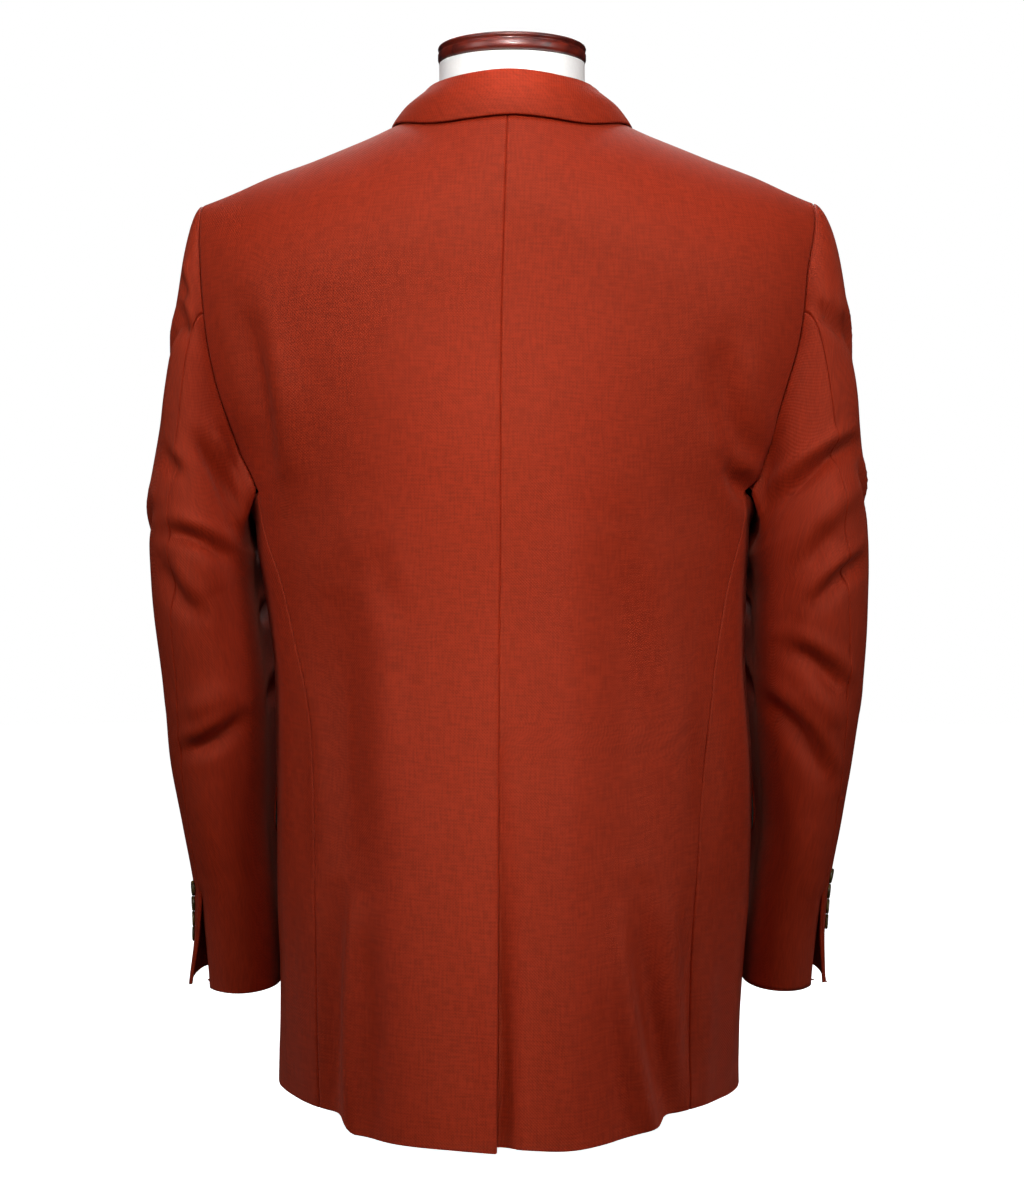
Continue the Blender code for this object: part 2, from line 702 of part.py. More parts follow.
def collar_profile(station, side):
    """Seven points across the collar: foot, stand, fold and fall."""
    foot = Vector((side * station.base_x, station.base_y, 0.0))
    foot.z = height_over(side, foot.x, foot.y) + 0.0030
    fold = Vector((side * station.fold_x, station.fold_y, 0.0))
    fold.z = height_over(side, fold.x, fold.y) + station.rise
    edge = Vector((side * station.edge_x, station.edge_y, 0.0))
    edge.z = height_over(side, edge.x, edge.y) + station.lift
    out = Vector((edge.x - foot.x, edge.y - foot.y, 0.0)).normalized()
    inner = fold - out * FOLD_RADIUS
    outer = fold + out * FOLD_RADIUS
    drop = Vector((0.0, 0.0, -FOLD_RADIUS))
    stand = foot.lerp(inner, 0.5)
    fall = outer.lerp(edge, 0.5) + Vector((0.0, 0.0, 0.0012)) + out * 0.0010
    return [foot, stand, inner + drop, fold, outer + drop, fall, edge]


def make_collar():
    """Stand and fall in one wall, folded along the neck and round to the gorges."""
    grid = [collar_profile(station, 1) for station in reversed(COLLAR)]
    grid += [collar_profile(station, -1) for station in COLLAR[1:]]
    cloth("collar", grid)


# ---------------------------------------------------------------- sleeves

def armhole_loop(side, share, underarm):
    """Point of the whole armhole, from the shoulder tip over the back and round."""
    share %= 1.0
    if share <= BACK_SHARE:
        return armhole_point(side, 1, share / BACK_SHARE)
    if share >= 1.0 - FRONT_SHARE:
        return armhole_point(side, -1, (1.0 - share) / FRONT_SHARE)
    place = (share - BACK_SHARE) / (1.0 - BACK_SHARE - FRONT_SHARE) * (len(underarm) - 1)
    low = min(int(place), len(underarm) - 2)
    return underarm[low].lerp(underarm[low + 1], place - low)


def cap_point(side, share, down, first_ring, underarm):
    """Point of the sleeve cap between the armhole and the first ring below it."""
    turn = 2 * math.pi * share
    up, back = math.cos(turn), math.sin(turn)
    clear = ARMHOLE_CLEAR[0] + ARMHOLE_CLEAR[1] * abs(back) + ARMHOLE_CLEAR[2] * (1.0 - up)
    a = armhole_loop(side, share, underarm) + Vector((side * clear, 0.0, 0.0))
    d = ring_of_sleeve(side, first_ring, math.degrees(turn))
    leave = Vector((side * (0.65 + 0.25 * up), 0.55 * back, -0.62 + 0.275 * up))
    leave.normalize()
    arrive = Vector((-side * CAP_LEAN[side] * up, -0.10 * back, 1.0))
    b = a + leave * (0.006 + CAP_OUT[side] * (1.0 + up) + 0.006 * abs(back))
    c = d + arrive * (0.008 + 0.092 * ((1.0 + up) / 2) ** 1.3)
    t = down
    return a * (1 - t)**3 + b * 3 * t * (1 - t)**2 + c * 3 * t**2 * (1 - t) + d * t**3


def ring_of_sleeve(side, ring, turn):
    """Point of a sleeve section; turn is 0 outside, 90 behind and 180 inside."""
    angle = math.radians(turn)
    in_front = max(-math.sin(angle), 0.0)
    across = ring.across + ring.half_width * math.cos(angle) - ring.turn_in * in_front**2
    ahead = ring.ahead + ring.half_depth * math.sin(angle)
    return Vector((side * across, ahead, ring.height + ring.tilt * math.cos(angle)))


def cuff_flare(side, ring, turn):
    """The overlap of the cuff vent stands away from the sleeve."""
    open_here = 1.0 - ease(ring.height, ring_low(side), CUFF_VENT)
    near = ease(turn, -35.0, ring.seam_turn)
    return Vector((side * CUFF_FLARE[side] * open_here * near, 0.0, 0.0))


def ring_low(side):
    return (SLEEVE_LEFT if side > 0 else SLEEVE_RIGHT)[-1].height - 0.006


def make_sleeve(side, underarm):
    rings = SLEEVE_LEFT if side > 0 else SLEEVE_RIGHT
    top_rows, under_rows = [], []
    for i in range(CAP_ROWS):
        down = i / CAP_ROWS
        gap = math.degrees(blend(CAP_SEAM, SLEEVE_SEAM, down) / 2 / 0.045)
        seam = blend(CAP_BACK_SEAM, rings[0].seam_turn, down)
        front = blend(SLEEVE_FRONT_SEAM - 4.0, SLEEVE_FRONT_SEAM, down)
        for rows, first, last, columns in (
            (top_rows, front - 360.0 + gap, seam - gap, TOP_COLUMNS),
            (under_rows, seam + gap, front - gap, UNDER_COLUMNS),
        ):
            row = []
            for j in range(columns):
                share = blend(first, last, j / (columns - 1)) / 360.0
                row.append(cap_point(side, share, down, rings[0], underarm))
            rows.append(row)
    gap = math.degrees(SLEEVE_SEAM / 2 / 0.045)
    for ring in rings:
        row = []
        for j in range(TOP_COLUMNS):
            turn = blend(SLEEVE_FRONT_SEAM - 360.0 + gap, ring.seam_turn - gap,
                         j / (TOP_COLUMNS - 1))
            row.append(ring_of_sleeve(side, ring, turn) + cuff_flare(side, ring, turn))
        top_rows.append(row)
        row = []
        for j in range(UNDER_COLUMNS):
            turn = blend(ring.seam_turn + gap, SLEEVE_FRONT_SEAM - gap, j / (UNDER_COLUMNS - 1))
            row.append(ring_of_sleeve(side, ring, turn))
        under_rows.append(row)
    cloth("sleeve_top_" + side_name(side), top_rows)
    cloth("sleeve_under_" + side_name(side), under_rows)
    return top_rows


# ---------------------------------------------------------------- flaps and buttons

def make_flap(side):
    """Pocket flap hanging from its seam, a little proud at its lower back corner."""
    rows = []
    for i in range(FLAP_ROWS):
        down = i / (FLAP_ROWS - 1)
        row = []
        for j in range(FLAP_COLUMNS):
            along = j / (FLAP_COLUMNS - 1)
            turn = blend(FLAP_FIRST_TURN, FLAP_LAST_TURN, along)
            top = FLAP_TOP - FLAP_SLANT * along
            round_off = FLAP_CORNER * ease(abs(2 * along - 1), 0.6, 1.0)
            level = top - down * (FLAP_HEIGHT - round_off)
            row.append(ring_point(side, turn, level))
        rows.append(row)

    def lift(point):
        hang = (FLAP_TOP - point.z) / FLAP_HEIGHT
        return LAYER + FLAP_PROUD * hang * ease(point.y, -0.11, -0.02)

    cloth("flap_" + side_name(side), lifted(rows, lift))


def make_front_buttons():
    facing = Vector((0.0, -1.0, 0.0))
    for number, height in enumerate(FRONT_BUTTON_LEVELS, start=1):
        front = ring_point(1, 180.0, height)
        place = front + facing * (OVERLAP_LIFT + CLOTH / 2 + 2 * SEAM_GAP)
        button(f"button_front_{number}", place, facing, FRONT_BUTTON, FRONT_BUTTON_THICK)


def make_cuff_buttons(side, top_rows):
    """Four buttons in a row up the edge of the cuff vent, almost touching."""
    low = ring_low(side)
    columns = len(top_rows[0])
    for number in range(4):
        height = low + CUFF_BUTTON_RISE[side] + CUFF_BUTTON_PITCH * number
        place, facing = cuff_place(side, top_rows, height, columns - 2)
        place += facing * (CLOTH / 2 + 2 * SEAM_GAP)
        name = f"button_cuff_{side_name(side)}_{number + 1}"
        button(name, place, facing, CUFF_BUTTON, CUFF_BUTTON_THICK)


def cuff_place(side, rows, height, column):
    """Point on the sleeve at a height in one column, and the direction out of it."""
    for high, low in zip(rows, rows[1:]):
        a, b = high[column], low[column]
        if b.z <= height <= a.z:
            break
    t = (a.z - height) / (a.z - b.z)
    place = a.lerp(b, t)
    along = high[column + 1].lerp(low[column + 1], t) - high[column - 1].lerp(low[column - 1], t)
    facing = along.cross(b - a).normalized()
    if facing.x * side < 0:
        facing.negate()
    return place, facing


# ---------------------------------------------------------------- dress form

def oval(height, half_width, back, front, count=28):
    """Ring of points; the back and the front may have different depths."""
    ring = []
    for k in range(count):
        turn = 2 * math.pi * k / count
        deep = back if math.sin(turn) >= 0 else front
        ring.append(Vector((half_width * math.cos(turn), deep * math.sin(turn), height)))
    return ring


def make_form():
    """Smooth torso on a flat base, with a neck and a turned cap."""
    base = []
    for height, inset in (
        (0.0, BASE_CHAMFER),
        (BASE_CHAMFER, 0.0),
        (BASE_THICK - BASE_CHAMFER, 0.0),
        (BASE_THICK, BASE_CHAMFER),
    ):
        deep = BASE_HALF_DEPTH - inset
        base.append(oval(height, BASE_HALF_WIDTH - inset, deep, deep))
    closed_loft("form_base", base, "mahogany")
    torso = []
    for i in range(TORSO_RINGS):
        height = blend(TORSO[0].height, TORSO[-1].height, i / (TORSO_RINGS - 1))
        half = read(TORSO, "half_width", height)
        back = read(TORSO, "back", height)
        front = read(TORSO, "front", height)
        torso.append(oval(height, half, back, front))
    closed_loft("form_torso", torso, "jersey")
    neck = []
    for i in range(NECK_RINGS):
        share = i / (NECK_RINGS - 1)
        height = blend(NECK_LOW, CAP_LOW - SEAM_GAP, share)
        half = NECK_RADIUS + NECK_FLARE * (1.0 - share) ** 4
        neck.append(oval(height, half, half * 0.94, half * 0.94))
    closed_loft("form_neck", neck, "jersey")
    profile = (
        (0.94, 0.0000), (1.0, 0.0012), (1.0, 0.0082), (0.975, 0.0090), (0.975, 0.0100),
        (1.0, 0.0108), (0.985, 0.0128), (0.90, 0.0141), (0.60, 0.0145),
    )
    cap = []
    for share, rise in profile:
        radius = CAP_RADIUS * share
        cap.append(oval(CAP_LOW + rise, radius, radius, radius))
    closed_loft("form_cap", cap, "mahogany")


def clear_scene():
    for thing in list(bpy.data.objects):
        bpy.data.objects.remove(thing, do_unlink=True)
    coat = bpy.data.collections.new("sport_coat")
    bpy.context.scene.collection.children.link(coat)


def build():
    clear_scene()
    for side in (1, -1):
        make_back(side)
        underarm = make_side(side)
        make_front(side)
        make_lapel(side)
        make_flap(side)
        top_rows = make_sleeve(side, underarm)
        make_cuff_buttons(side, top_rows)
    make_collar()
    make_front_buttons()
    make_form()


build()
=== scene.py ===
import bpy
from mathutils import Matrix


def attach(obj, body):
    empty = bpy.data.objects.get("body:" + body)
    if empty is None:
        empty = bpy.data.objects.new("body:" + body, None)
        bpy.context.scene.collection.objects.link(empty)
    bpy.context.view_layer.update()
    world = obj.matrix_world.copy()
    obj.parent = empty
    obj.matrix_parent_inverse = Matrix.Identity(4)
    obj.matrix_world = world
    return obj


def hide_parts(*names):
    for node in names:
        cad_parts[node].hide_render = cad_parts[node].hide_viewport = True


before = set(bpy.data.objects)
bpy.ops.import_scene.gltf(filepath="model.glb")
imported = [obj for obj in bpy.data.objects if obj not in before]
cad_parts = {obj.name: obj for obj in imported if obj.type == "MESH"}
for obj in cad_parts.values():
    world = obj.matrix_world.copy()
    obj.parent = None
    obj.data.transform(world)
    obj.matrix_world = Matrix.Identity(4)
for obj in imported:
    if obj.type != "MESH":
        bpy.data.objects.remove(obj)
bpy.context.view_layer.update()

import math
import bpy
import numpy as np
from mathutils import Matrix, Vector

# Rust wool sport coat on a dress form, seen from behind. Metres, +Z up, the back faces +Y,
# the wearer's left is +X. side is 1 for left and -1 for right, face is 1 for the back and
# -1 for the front, climb is the way along the cloth down from the shoulder seam.

print("frame loaded:", len(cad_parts), "nodes")


# helpers

def linear(hexCode):
    channels = [int(hexCode[i:i + 2], 16) / 255 for i in (1, 3, 5)]
    return tuple(c / 12.92 if c < 0.04045 else ((c + 0.055) / 1.055) ** 2.4
                 for c in channels) + (1.0,)


def fillNode(tree, node, settings=None, links=None):
    for key, value in (settings or {}).items():
        if isinstance(key, int) or key in node.inputs:
            node.inputs[key].default_value = value
        else:
            setattr(node, key, value)
    for key, source in (links or {}).items():
        tree.links.new(source, node.inputs[key])
    return node


def addNode(tree, kind, settings=None, links=None):
    return fillNode(tree, tree.nodes.new(kind), settings, links)


def sideName(side):
    return "left" if side > 0 else "right"


def joined(node):
    # a node's name in one word, back_left as BackLeft
    return "".join(word.capitalize() for word in node.split("_"))


def ease(value, low, high):
    t = np.clip((value - low) / (high - low), 0.0, 1.0)
    return t * t * (3 - 2 * t)


def blend(a, b, t):
    return a + (b - a) * t


def curve(table, column, at):
    # smooth value of a table's column at places along its first column
    keys = np.array(table[next(iter(table))], float)
    values = np.array(table[column], float)
    if keys[0] > keys[-1]:
        keys, values = keys[::-1], values[::-1]
    at = np.clip(at, keys[0], keys[-1])
    low = np.clip(np.searchsorted(keys, at, side="right") - 1, 0, len(keys) - 2)
    slopes = np.empty_like(values)
    slopes[1:-1] = (values[2:] - values[:-2]) / (keys[2:] - keys[:-2])
    slopes[0] = (values[1] - values[0]) / (keys[1] - keys[0])
    slopes[-1] = (values[-1] - values[-2]) / (keys[-1] - keys[-2])
    span = keys[low + 1] - keys[low]
    t = (at - keys[low]) / span
    return ((2 * t**3 - 3 * t**2 + 1) * values[low]
            + (t**3 - 2 * t**2 + t) * span * slopes[low]
            + (3 * t**2 - 2 * t**3) * values[low + 1]
            + (t**3 - t**2) * span * slopes[low + 1])


# body of the coat

cloth = {
    "wall": 0.0016,
    "seamGap": 0.0003,      # between two sewn panels
    "seamDip": 0.0012,      # the edges roll in at a seam
    "seamRoll": 0.0005,     # width of that roll
    "allowance": 0.0050,    # seam allowance that lies under the neighbour
    "lapBend": 0.40,        # an underlap falls away by its width squared over this
    "hemTurnUp": 0.036,     # wool turned up inside, before the lining starts
    "step": 0.0040,         # spacing of the mesh
    "near": (0.0, 0.0005, 0.0010, 0.0016, 0.0024, 0.0036),      # and beside a sewn edge
    "hemNear": (0.0, 0.0008, 0.0018),
    "tuck": ((0.0001, 0.0007), (0.0006, 0.0013)),   # an allowance goes out and down by these
    "tuckOut": 0.0006, "tuckDown": 0.0015,
}

# lengths that set how many rows or columns a piece has
spans = {"back": 0.20, "backRise": 0.32, "side": 0.12, "front": 0.19, "frontRise": 0.30,
         "sleeveTop": 0.20, "sleeveUnder": 0.155, "cap": 0.17}

shoulder = {
    "fall": 0.120, "roll": 0.120, "underarm": 0.500, "ridgeGap": 0.0008,
    "deepAt": 0.74,         # the shoulder is as deep as the body at this height
    "dipDepth": 0.013,      # the side panel's top edge dips under the arm
    "dipFrom": 0.470,
}

neck = {"halfWidth": 0.078, "back": 0.076, "level": 0.792, "centre": 0.0028}

vent = {
    "top": 0.300, "underlap": 0.036, "depthTop": 0.0028, "depthHem": 0.0120,
    "lift": 0.0035,         # the overlap stands off by this at the hem
    "foot": 0.020,          # full depth below this height
    "liftOut": (0.011, 0.050),              # and fades between these distances out
    "fade": (-0.004, 0.016),                # the underlap starts around the top
    "sewn": (-0.004, 0.030),                # where it narrows to a seam allowance
    "sinkIn": (-0.008, 0.000),              # inner edge of the sunk strip, hem and top
    "sinkLevel": 0.20, "sinkOut": 0.0095,
}

front = {
    "breakPoint": 0.410, "overlap": 0.020, "overlapLift": 0.0056, "rollDrop": 0.4715,
    "rollAt": 0.030,        # the roll line's climb is taken this far out
    "liftOut": (0.024, 0.080), "liftUp": (0.48, 0.60),
    "facing": 0.085,        # wool inside the front edge, before the lining
}

sections = {
    "height": (0.000, 0.060, 0.120, 0.180, 0.250, 0.305, 0.360, 0.410, 0.450, 0.490,
               0.530, 0.570, 0.610, 0.660, 0.720, 0.820),
    "left": (0.182, 0.182, 0.182, 0.184, 0.185, 0.186, 0.187, 0.193, 0.199, 0.203,
             0.217, 0.235, 0.246, 0.252, 0.258, 0.262),
    "right": (0.178, 0.178, 0.181, 0.186, 0.189, 0.188, 0.184, 0.184, 0.185, 0.188,
              0.204, 0.221, 0.233, 0.240, 0.252, 0.256),
    "back": (0.141, 0.139, 0.136, 0.131, 0.124, 0.118, 0.114, 0.113, 0.115, 0.118,
             0.121, 0.123, 0.124, 0.124, 0.122, 0.118),
    "front": (0.126, 0.128, 0.130, 0.131, 0.130, 0.128, 0.128, 0.131, 0.135, 0.138,
              0.139, 0.138, 0.134, 0.128, 0.120, 0.114),
    "square": (2.35, 2.35, 2.35, 2.35, 2.35, 2.35, 2.35, 2.35, 2.40, 2.40,
               2.40, 2.40, 2.40, 2.40, 2.40, 2.40),
}

seams = {
    "height": (0.000, 0.150, 0.220, 0.290, 0.345, 0.380, 0.430, 0.470, 0.500, 0.620,
               0.700, 0.820),
    "centre": (0.0117, 0.0107, 0.0105, 0.0103, 0.0100, 0.0098, 0.0093, 0.0090, 0.0088,
               0.0082, 0.0060, 0.0025),
    "left": (0.1430, 0.1450, 0.1490, 0.1530, 0.1570, 0.1640, 0.1755, 0.1900, 0.1950,
             0.2330, 0.2400, 0.2420),
    "right": (0.1310, 0.1355, 0.1390, 0.1455, 0.1510, 0.1560, 0.1650, 0.1760, 0.1830,
              0.2200, 0.2320, 0.2360),
    "frontTurn": (121.0, 121.0, 120.0, 118.0, 115.0, 113.0, 111.0, 109.0, 108.0, 108.0,
                  108.0, 108.0),
}

armholes = {
    "height": (0.500, 0.514, 0.530, 0.555, 0.580, 0.612, 0.640, 0.670, 0.700, 0.7285),
    "backLeft": (0.1950, 0.2010, 0.2090, 0.2180, 0.2260, 0.2330, 0.2365, 0.2395, 0.2420,
                 0.2430),
    "backRight": (0.1830, 0.1900, 0.1960, 0.2025, 0.2100, 0.2195, 0.2240, 0.2270, 0.2335,
                  0.2370),
    "frontLeft": (0.1925, 0.1915, 0.1915, 0.1930, 0.1980, 0.2070, 0.2150, 0.2210, 0.2320,
                  0.2430),
    "frontRight": (0.1785, 0.1780, 0.1790, 0.1820, 0.1880, 0.1980, 0.2070, 0.2140, 0.2255,
                   0.2370),
}

ridge = {
    "out": (-0.078, 0.000, 0.078, 0.110, 0.150, 0.190, 0.225, 0.245, 0.280),
    "height": (0.7925, 0.8185, 0.7925, 0.7785, 0.7625, 0.7480, 0.7330, 0.7255, 0.7120),
}

frontEdge = {
    "height": (0.030, 0.045, 0.070, 0.110, 0.160, 0.215, 0.275, 0.330, 0.410),
    "out": (0.078, 0.060, 0.042, 0.023, 0.006, -0.009, -0.018, -0.020, -0.020),
}

hem = {
    "turn": (0.0, 14.0, 27.0, 35.0, 38.0, 40.0, 44.0, 50.0, 58.0, 70.0, 90.0, 121.0,
             150.0, 180.0),
    "left": (0.0122, 0.0142, 0.0168, 0.0196, 0.0208, 0.0222, 0.0322, 0.0362, 0.0390,
             0.0415, 0.0415, 0.0380, 0.0330, 0.0310),
    "right": (0.0150, 0.0138, 0.0204, 0.0262, 0.0284, 0.0342, 0.0358, 0.0378, 0.0392,
              0.0405, 0.0395, 0.0370, 0.0330, 0.0310),
    "level": 0.030,         # nominal height of the hem row
    "fade": 0.080,          # the rows are level again above this
}


def depthAt(side, face, out, height):
    half = curve(sections, sideName(side), height)
    deep = curve(sections, "back" if face > 0 else "front", height)
    square = curve(sections, "square", height)
    share = np.minimum(np.abs(out) / half, 1.0)
    return deep * (1.0 - share**square) ** (1.0 / square)


def dropOf(climb):
    turn = np.minimum(climb / shoulder["roll"], math.pi / 2)
    past = np.maximum(climb - shoulder["roll"] * math.pi / 2, 0.0)
    return shoulder["fall"] * (1.0 - np.cos(turn)) + past


def climbOf(out, height):
    drop = curve(ridge, "height", np.abs(out)) - height
    fall = shoulder["fall"]
    rounded = shoulder["roll"] * np.arccos(np.clip(1.0 - drop / fall, 0.0, 1.0))
    return np.where(drop < fall, rounded, shoulder["roll"] * math.pi / 2 + drop - fall)


def upperPoint(side, face, out, climb):
    height = curve(ridge, "height", np.abs(out)) - dropOf(climb)
    turn = np.minimum(climb / shoulder["roll"], math.pi / 2)
    deep = depthAt(side, face, out, height) * np.sin(turn)
    deep = deep + shoulder["ridgeGap"] * np.cos(turn)
    return np.stack((out, face * deep, height), axis=-1)


def heightOver(side, out, deep):
    face = 1 if deep >= 0 else -1
    full = float(depthAt(side, face, out, shoulder["deepAt"]))
    turn = math.asin(min(abs(deep) / full, 1.0))
    return float(curve(ridge, "height", abs(out))) - shoulder["fall"] * (1 - math.cos(turn))


def ringPoint(side, turn, height):
    half = curve(sections, sideName(side), height)
    out = half * np.sin(np.radians(turn))
    back = depthAt(side, 1, out, height)
    ahead = depthAt(side, -1, out, height)
    deep = np.where(np.abs(turn) <= 90, back, -ahead)
    return np.stack((side * out, deep, height), axis=-1)


def turnOf(side, face, out, height):
    half = curve(sections, sideName(side), height)
    turn = np.degrees(np.arcsin(np.clip(out / half, -1.0, 1.0)))
    return turn if face > 0 else 180.0 - turn


def armholeAt(side, face, share):
    # (out, climb) along an armhole, from 0 at the shoulder tip to 1 at the underarm
    key = ("back" if face > 0 else "front") + sideName(side).capitalize()
    tipOut = armholes[key][-1]
    tip = float(curve(ridge, "height", tipOut))
    whole = float(climbOf(tipOut, shoulder["underarm"]))
    level = tip - dropOf(whole * share)
    out = curve(armholes, key, level)
    climb = np.where(share <= 0.0, 0.0, climbOf(out, level))
    return np.where(share <= 0.0, tipOut, out), climb


def armholePoint(side, face, share):
    out, climb = armholeAt(side, face, share)
    return upperPoint(side, face, side * out, climb)


def neckSeam(side, share):
    first = math.asin(side * neck["centre"] / neck["halfWidth"])
    turn = blend(first, math.pi / 2, share)
    out = neck["halfWidth"] * np.sin(turn)
    deep = neck["back"] * np.cos(turn)
    full = depthAt(side, 1, out, neck["level"])
    return out, shoulder["roll"] * np.arcsin(np.clip(deep / full, 0.0, 1.0))


def rollOut(climb):
    return blend(neck["halfWidth"], -front["overlap"], climb / front["rollDrop"])


# folds
# Each fold is pressed in from the side of the coat that its name gives: start and end
# (across, height) in mm, how far its middle bows sideways, half width, depth (- is in).

views = {"back": (0, 1, 0), "front": (0, -1, 0), "left": (1, 0, 0), "right": (-1, 0, 0)}

bodyFolds = {
    "back": (
        ((91, 455), (86, 10), -3, 24, 5.8),
        ((128, 430), (122, 205), 4, 22, -8.4),
        ((118, 190), (119, 8), 2, 6.5, 7.4),
        ((131, 200), (133, 8), -2, 9, -5.8),
        ((104, 165), (106, 8), 0, 10, -3.8),
        ((-40, 490), (-46, 10), 2, 21, 4.8),
        ((-74, 470), (-98, 215), -4, 22, -7.8),
        ((-78, 180), (-107, 8), 5, 7, 7.8),
        ((-96, 200), (-121, 12), 4, 10, -6.2),
        ((-66, 120), (-86, 8), 2, 9, -3.0),
        ((78, 415), (73, 290), 1, 9, -2.6),
        ((100, 470), (88, 400), 3, 10, -2.8),
        ((60, 400), (62, 250), -2, 12, -1.6),
        ((152, 200), (156, 30), 2, 8, 3.8),
        ((160, 330), (158, 210), 1, 10, -3.4),
        ((-132, 200), (-128, 40), -2, 8, -3.8),
        ((-146, 150), (-143, 30), 1, 8, 3.8),
        ((-140, 330), (-146, 230), -2, 11, -3.0),
        ((206, 640), (186, 505), -5, 12, -7.8),
        ((178, 610), (168, 500), -4, 13, 3.4),
        ((-158, 612), (-178, 515), 6, 14, -8.0),
        ((-160, 520), (-190, 492), 2, 10, -9.4),
        ((-150, 560), (-168, 470), 3, 12, 3.0),
        ((20, 650), (60, 690), 4, 26, 1.4),
        ((30, 130), (26, 12), -1, 10, -2.0),
        ((-22, 300), (-30, 60), 1, 16, 1.6),
    ),
    "front": (
        ((120, 470), (104, 190), 4, 26, 3.8),
        ((-120, 470), (-104, 190), -4, 26, 3.8),
        ((148, 560), (120, 470), 4, 13, -4.4),
        ((-150, 566), (-118, 486), -4, 13, -4.0),
        ((30, 382), (110, 352), 3, 10, -2.4),
        ((-30, 380), (-104, 356), -3, 10, -2.2),
        ((92, 170), (88, 34), 2, 14, 2.8),
        ((-96, 180), (-90, 34), -2, 14, 2.8),
        ((186, 600), (168, 520), -4, 12, -5.2),
        ((-176, 600), (-160, 520), 4, 12, -5.2),
    ),
    "left": (
        ((20, 470), (28, 60), 3, 18, -3.0),
        ((-30, 200), (-36, 40), -2, 14, 2.8),
        ((60, 180), (66, 42), 2, 9, 3.0),
    ),
    "right": (
        ((24, 470), (30, 60), -3, 18, -3.0),
        ((-26, 210), (-34, 44), 2, 14, 2.8),
        ((62, 170), (68, 42), -2, 9, 3.0),
    ),
}

sleeveFolds = {
    "back": (
        ((262, 676), (248, 646), 1, 5.5, -6),
        ((262, 650), (246, 618), 2, 7, -8),
        ((266, 622), (270, 552), 3, 10.5, 6.4),
        ((268, 532), (252, 512), 2, 6.5, -5.6),
        ((240, 540), (216, 488), -4, 7, -10.2),
        ((264, 468), (216, 446), -5, 7, -8.8),
        ((268, 446), (240, 404), 4, 8, -7.6),
        ((236, 470), (226, 420), 2, 11.5, 4.2),
        ((252, 300), (208, 326), 4, 7, -9.8),
        ((250, 330), (214, 350), 3, 11.5, 4.6),
        ((236, 280), (232, 200), 2, 13.5, 3),
        ((-230, 642), (-268, 610), -3, 6.5, -8.8),
        ((-262, 600), (-270, 552), -2, 10.5, 5.6),
        ((-272, 540), (-204, 490), 6, 7, -11.4),
        ((-270, 506), (-232, 470), 5, 10.5, 5.6),
        ((-276, 450), (-232, 412), 4, 7, -9.6),
        ((-246, 470), (-226, 440), 3, 8, -5),
        ((-210, 380), (-254, 346), -4, 8, -8.4),
        ((-192, 342), (-242, 276), -6, 8, -9.8),
        ((-222, 352), (-250, 318), -2, 9.5, 5),
        ((-228, 250), (-232, 180), -2, 13.5, 2.8),
    ),
    "front": (
        ((262, 470), (226, 446), 4, 7, -8.4),
        ((262, 430), (230, 402), 3, 7, -8.8),
        ((258, 388), (234, 366), 2, 7, -6.8),
        ((250, 620), (240, 540), 4, 9.5, -5.6),
        ((-262, 474), (-226, 448), -4, 7, -8.8),
        ((-262, 432), (-228, 400), -3, 7, -8.8),
        ((-258, 386), (-234, 362), -2, 7, -7.2),
        ((-248, 620), (-238, 540), -4, 9.5, -5.6),
    ),
    "left": (
        ((46, 640), (20, 600), 3, 8, -5),
        ((-50, 470), (-8, 446), 4, 7, -7.6),
        ((-54, 420), (-14, 404), 3, 7, -7.6),
        ((40, 486), (6, 462), -3, 8, -5.6),
        ((-40, 360), (-6, 340), 2, 8, -5),
    ),
    "right": (
        ((44, 640), (18, 604), -3, 8, -5),
        ((-50, 474), (-8, 450), -4, 7, -7.6),
        ((-54, 424), (-12, 402), -3, 7, -7.6),
        ((42, 520), (4, 486), 3, 8, -6.4),
        ((-40, 356), (-6, 338), -2, 8, -5),
    ),
}


press = {
    "facing": (0.10, 0.60),     # a fold fades where the cloth turns away from its side
    "legs": 8,                  # straight pieces in its bowed line
    "blunt": 0.55,              # how soon it reaches its full depth from an end
    "over": 0.45, "overAt": 1.5, "overWide": 0.9,   # the roll above a crease, in widths
    "far": 9.0,
}


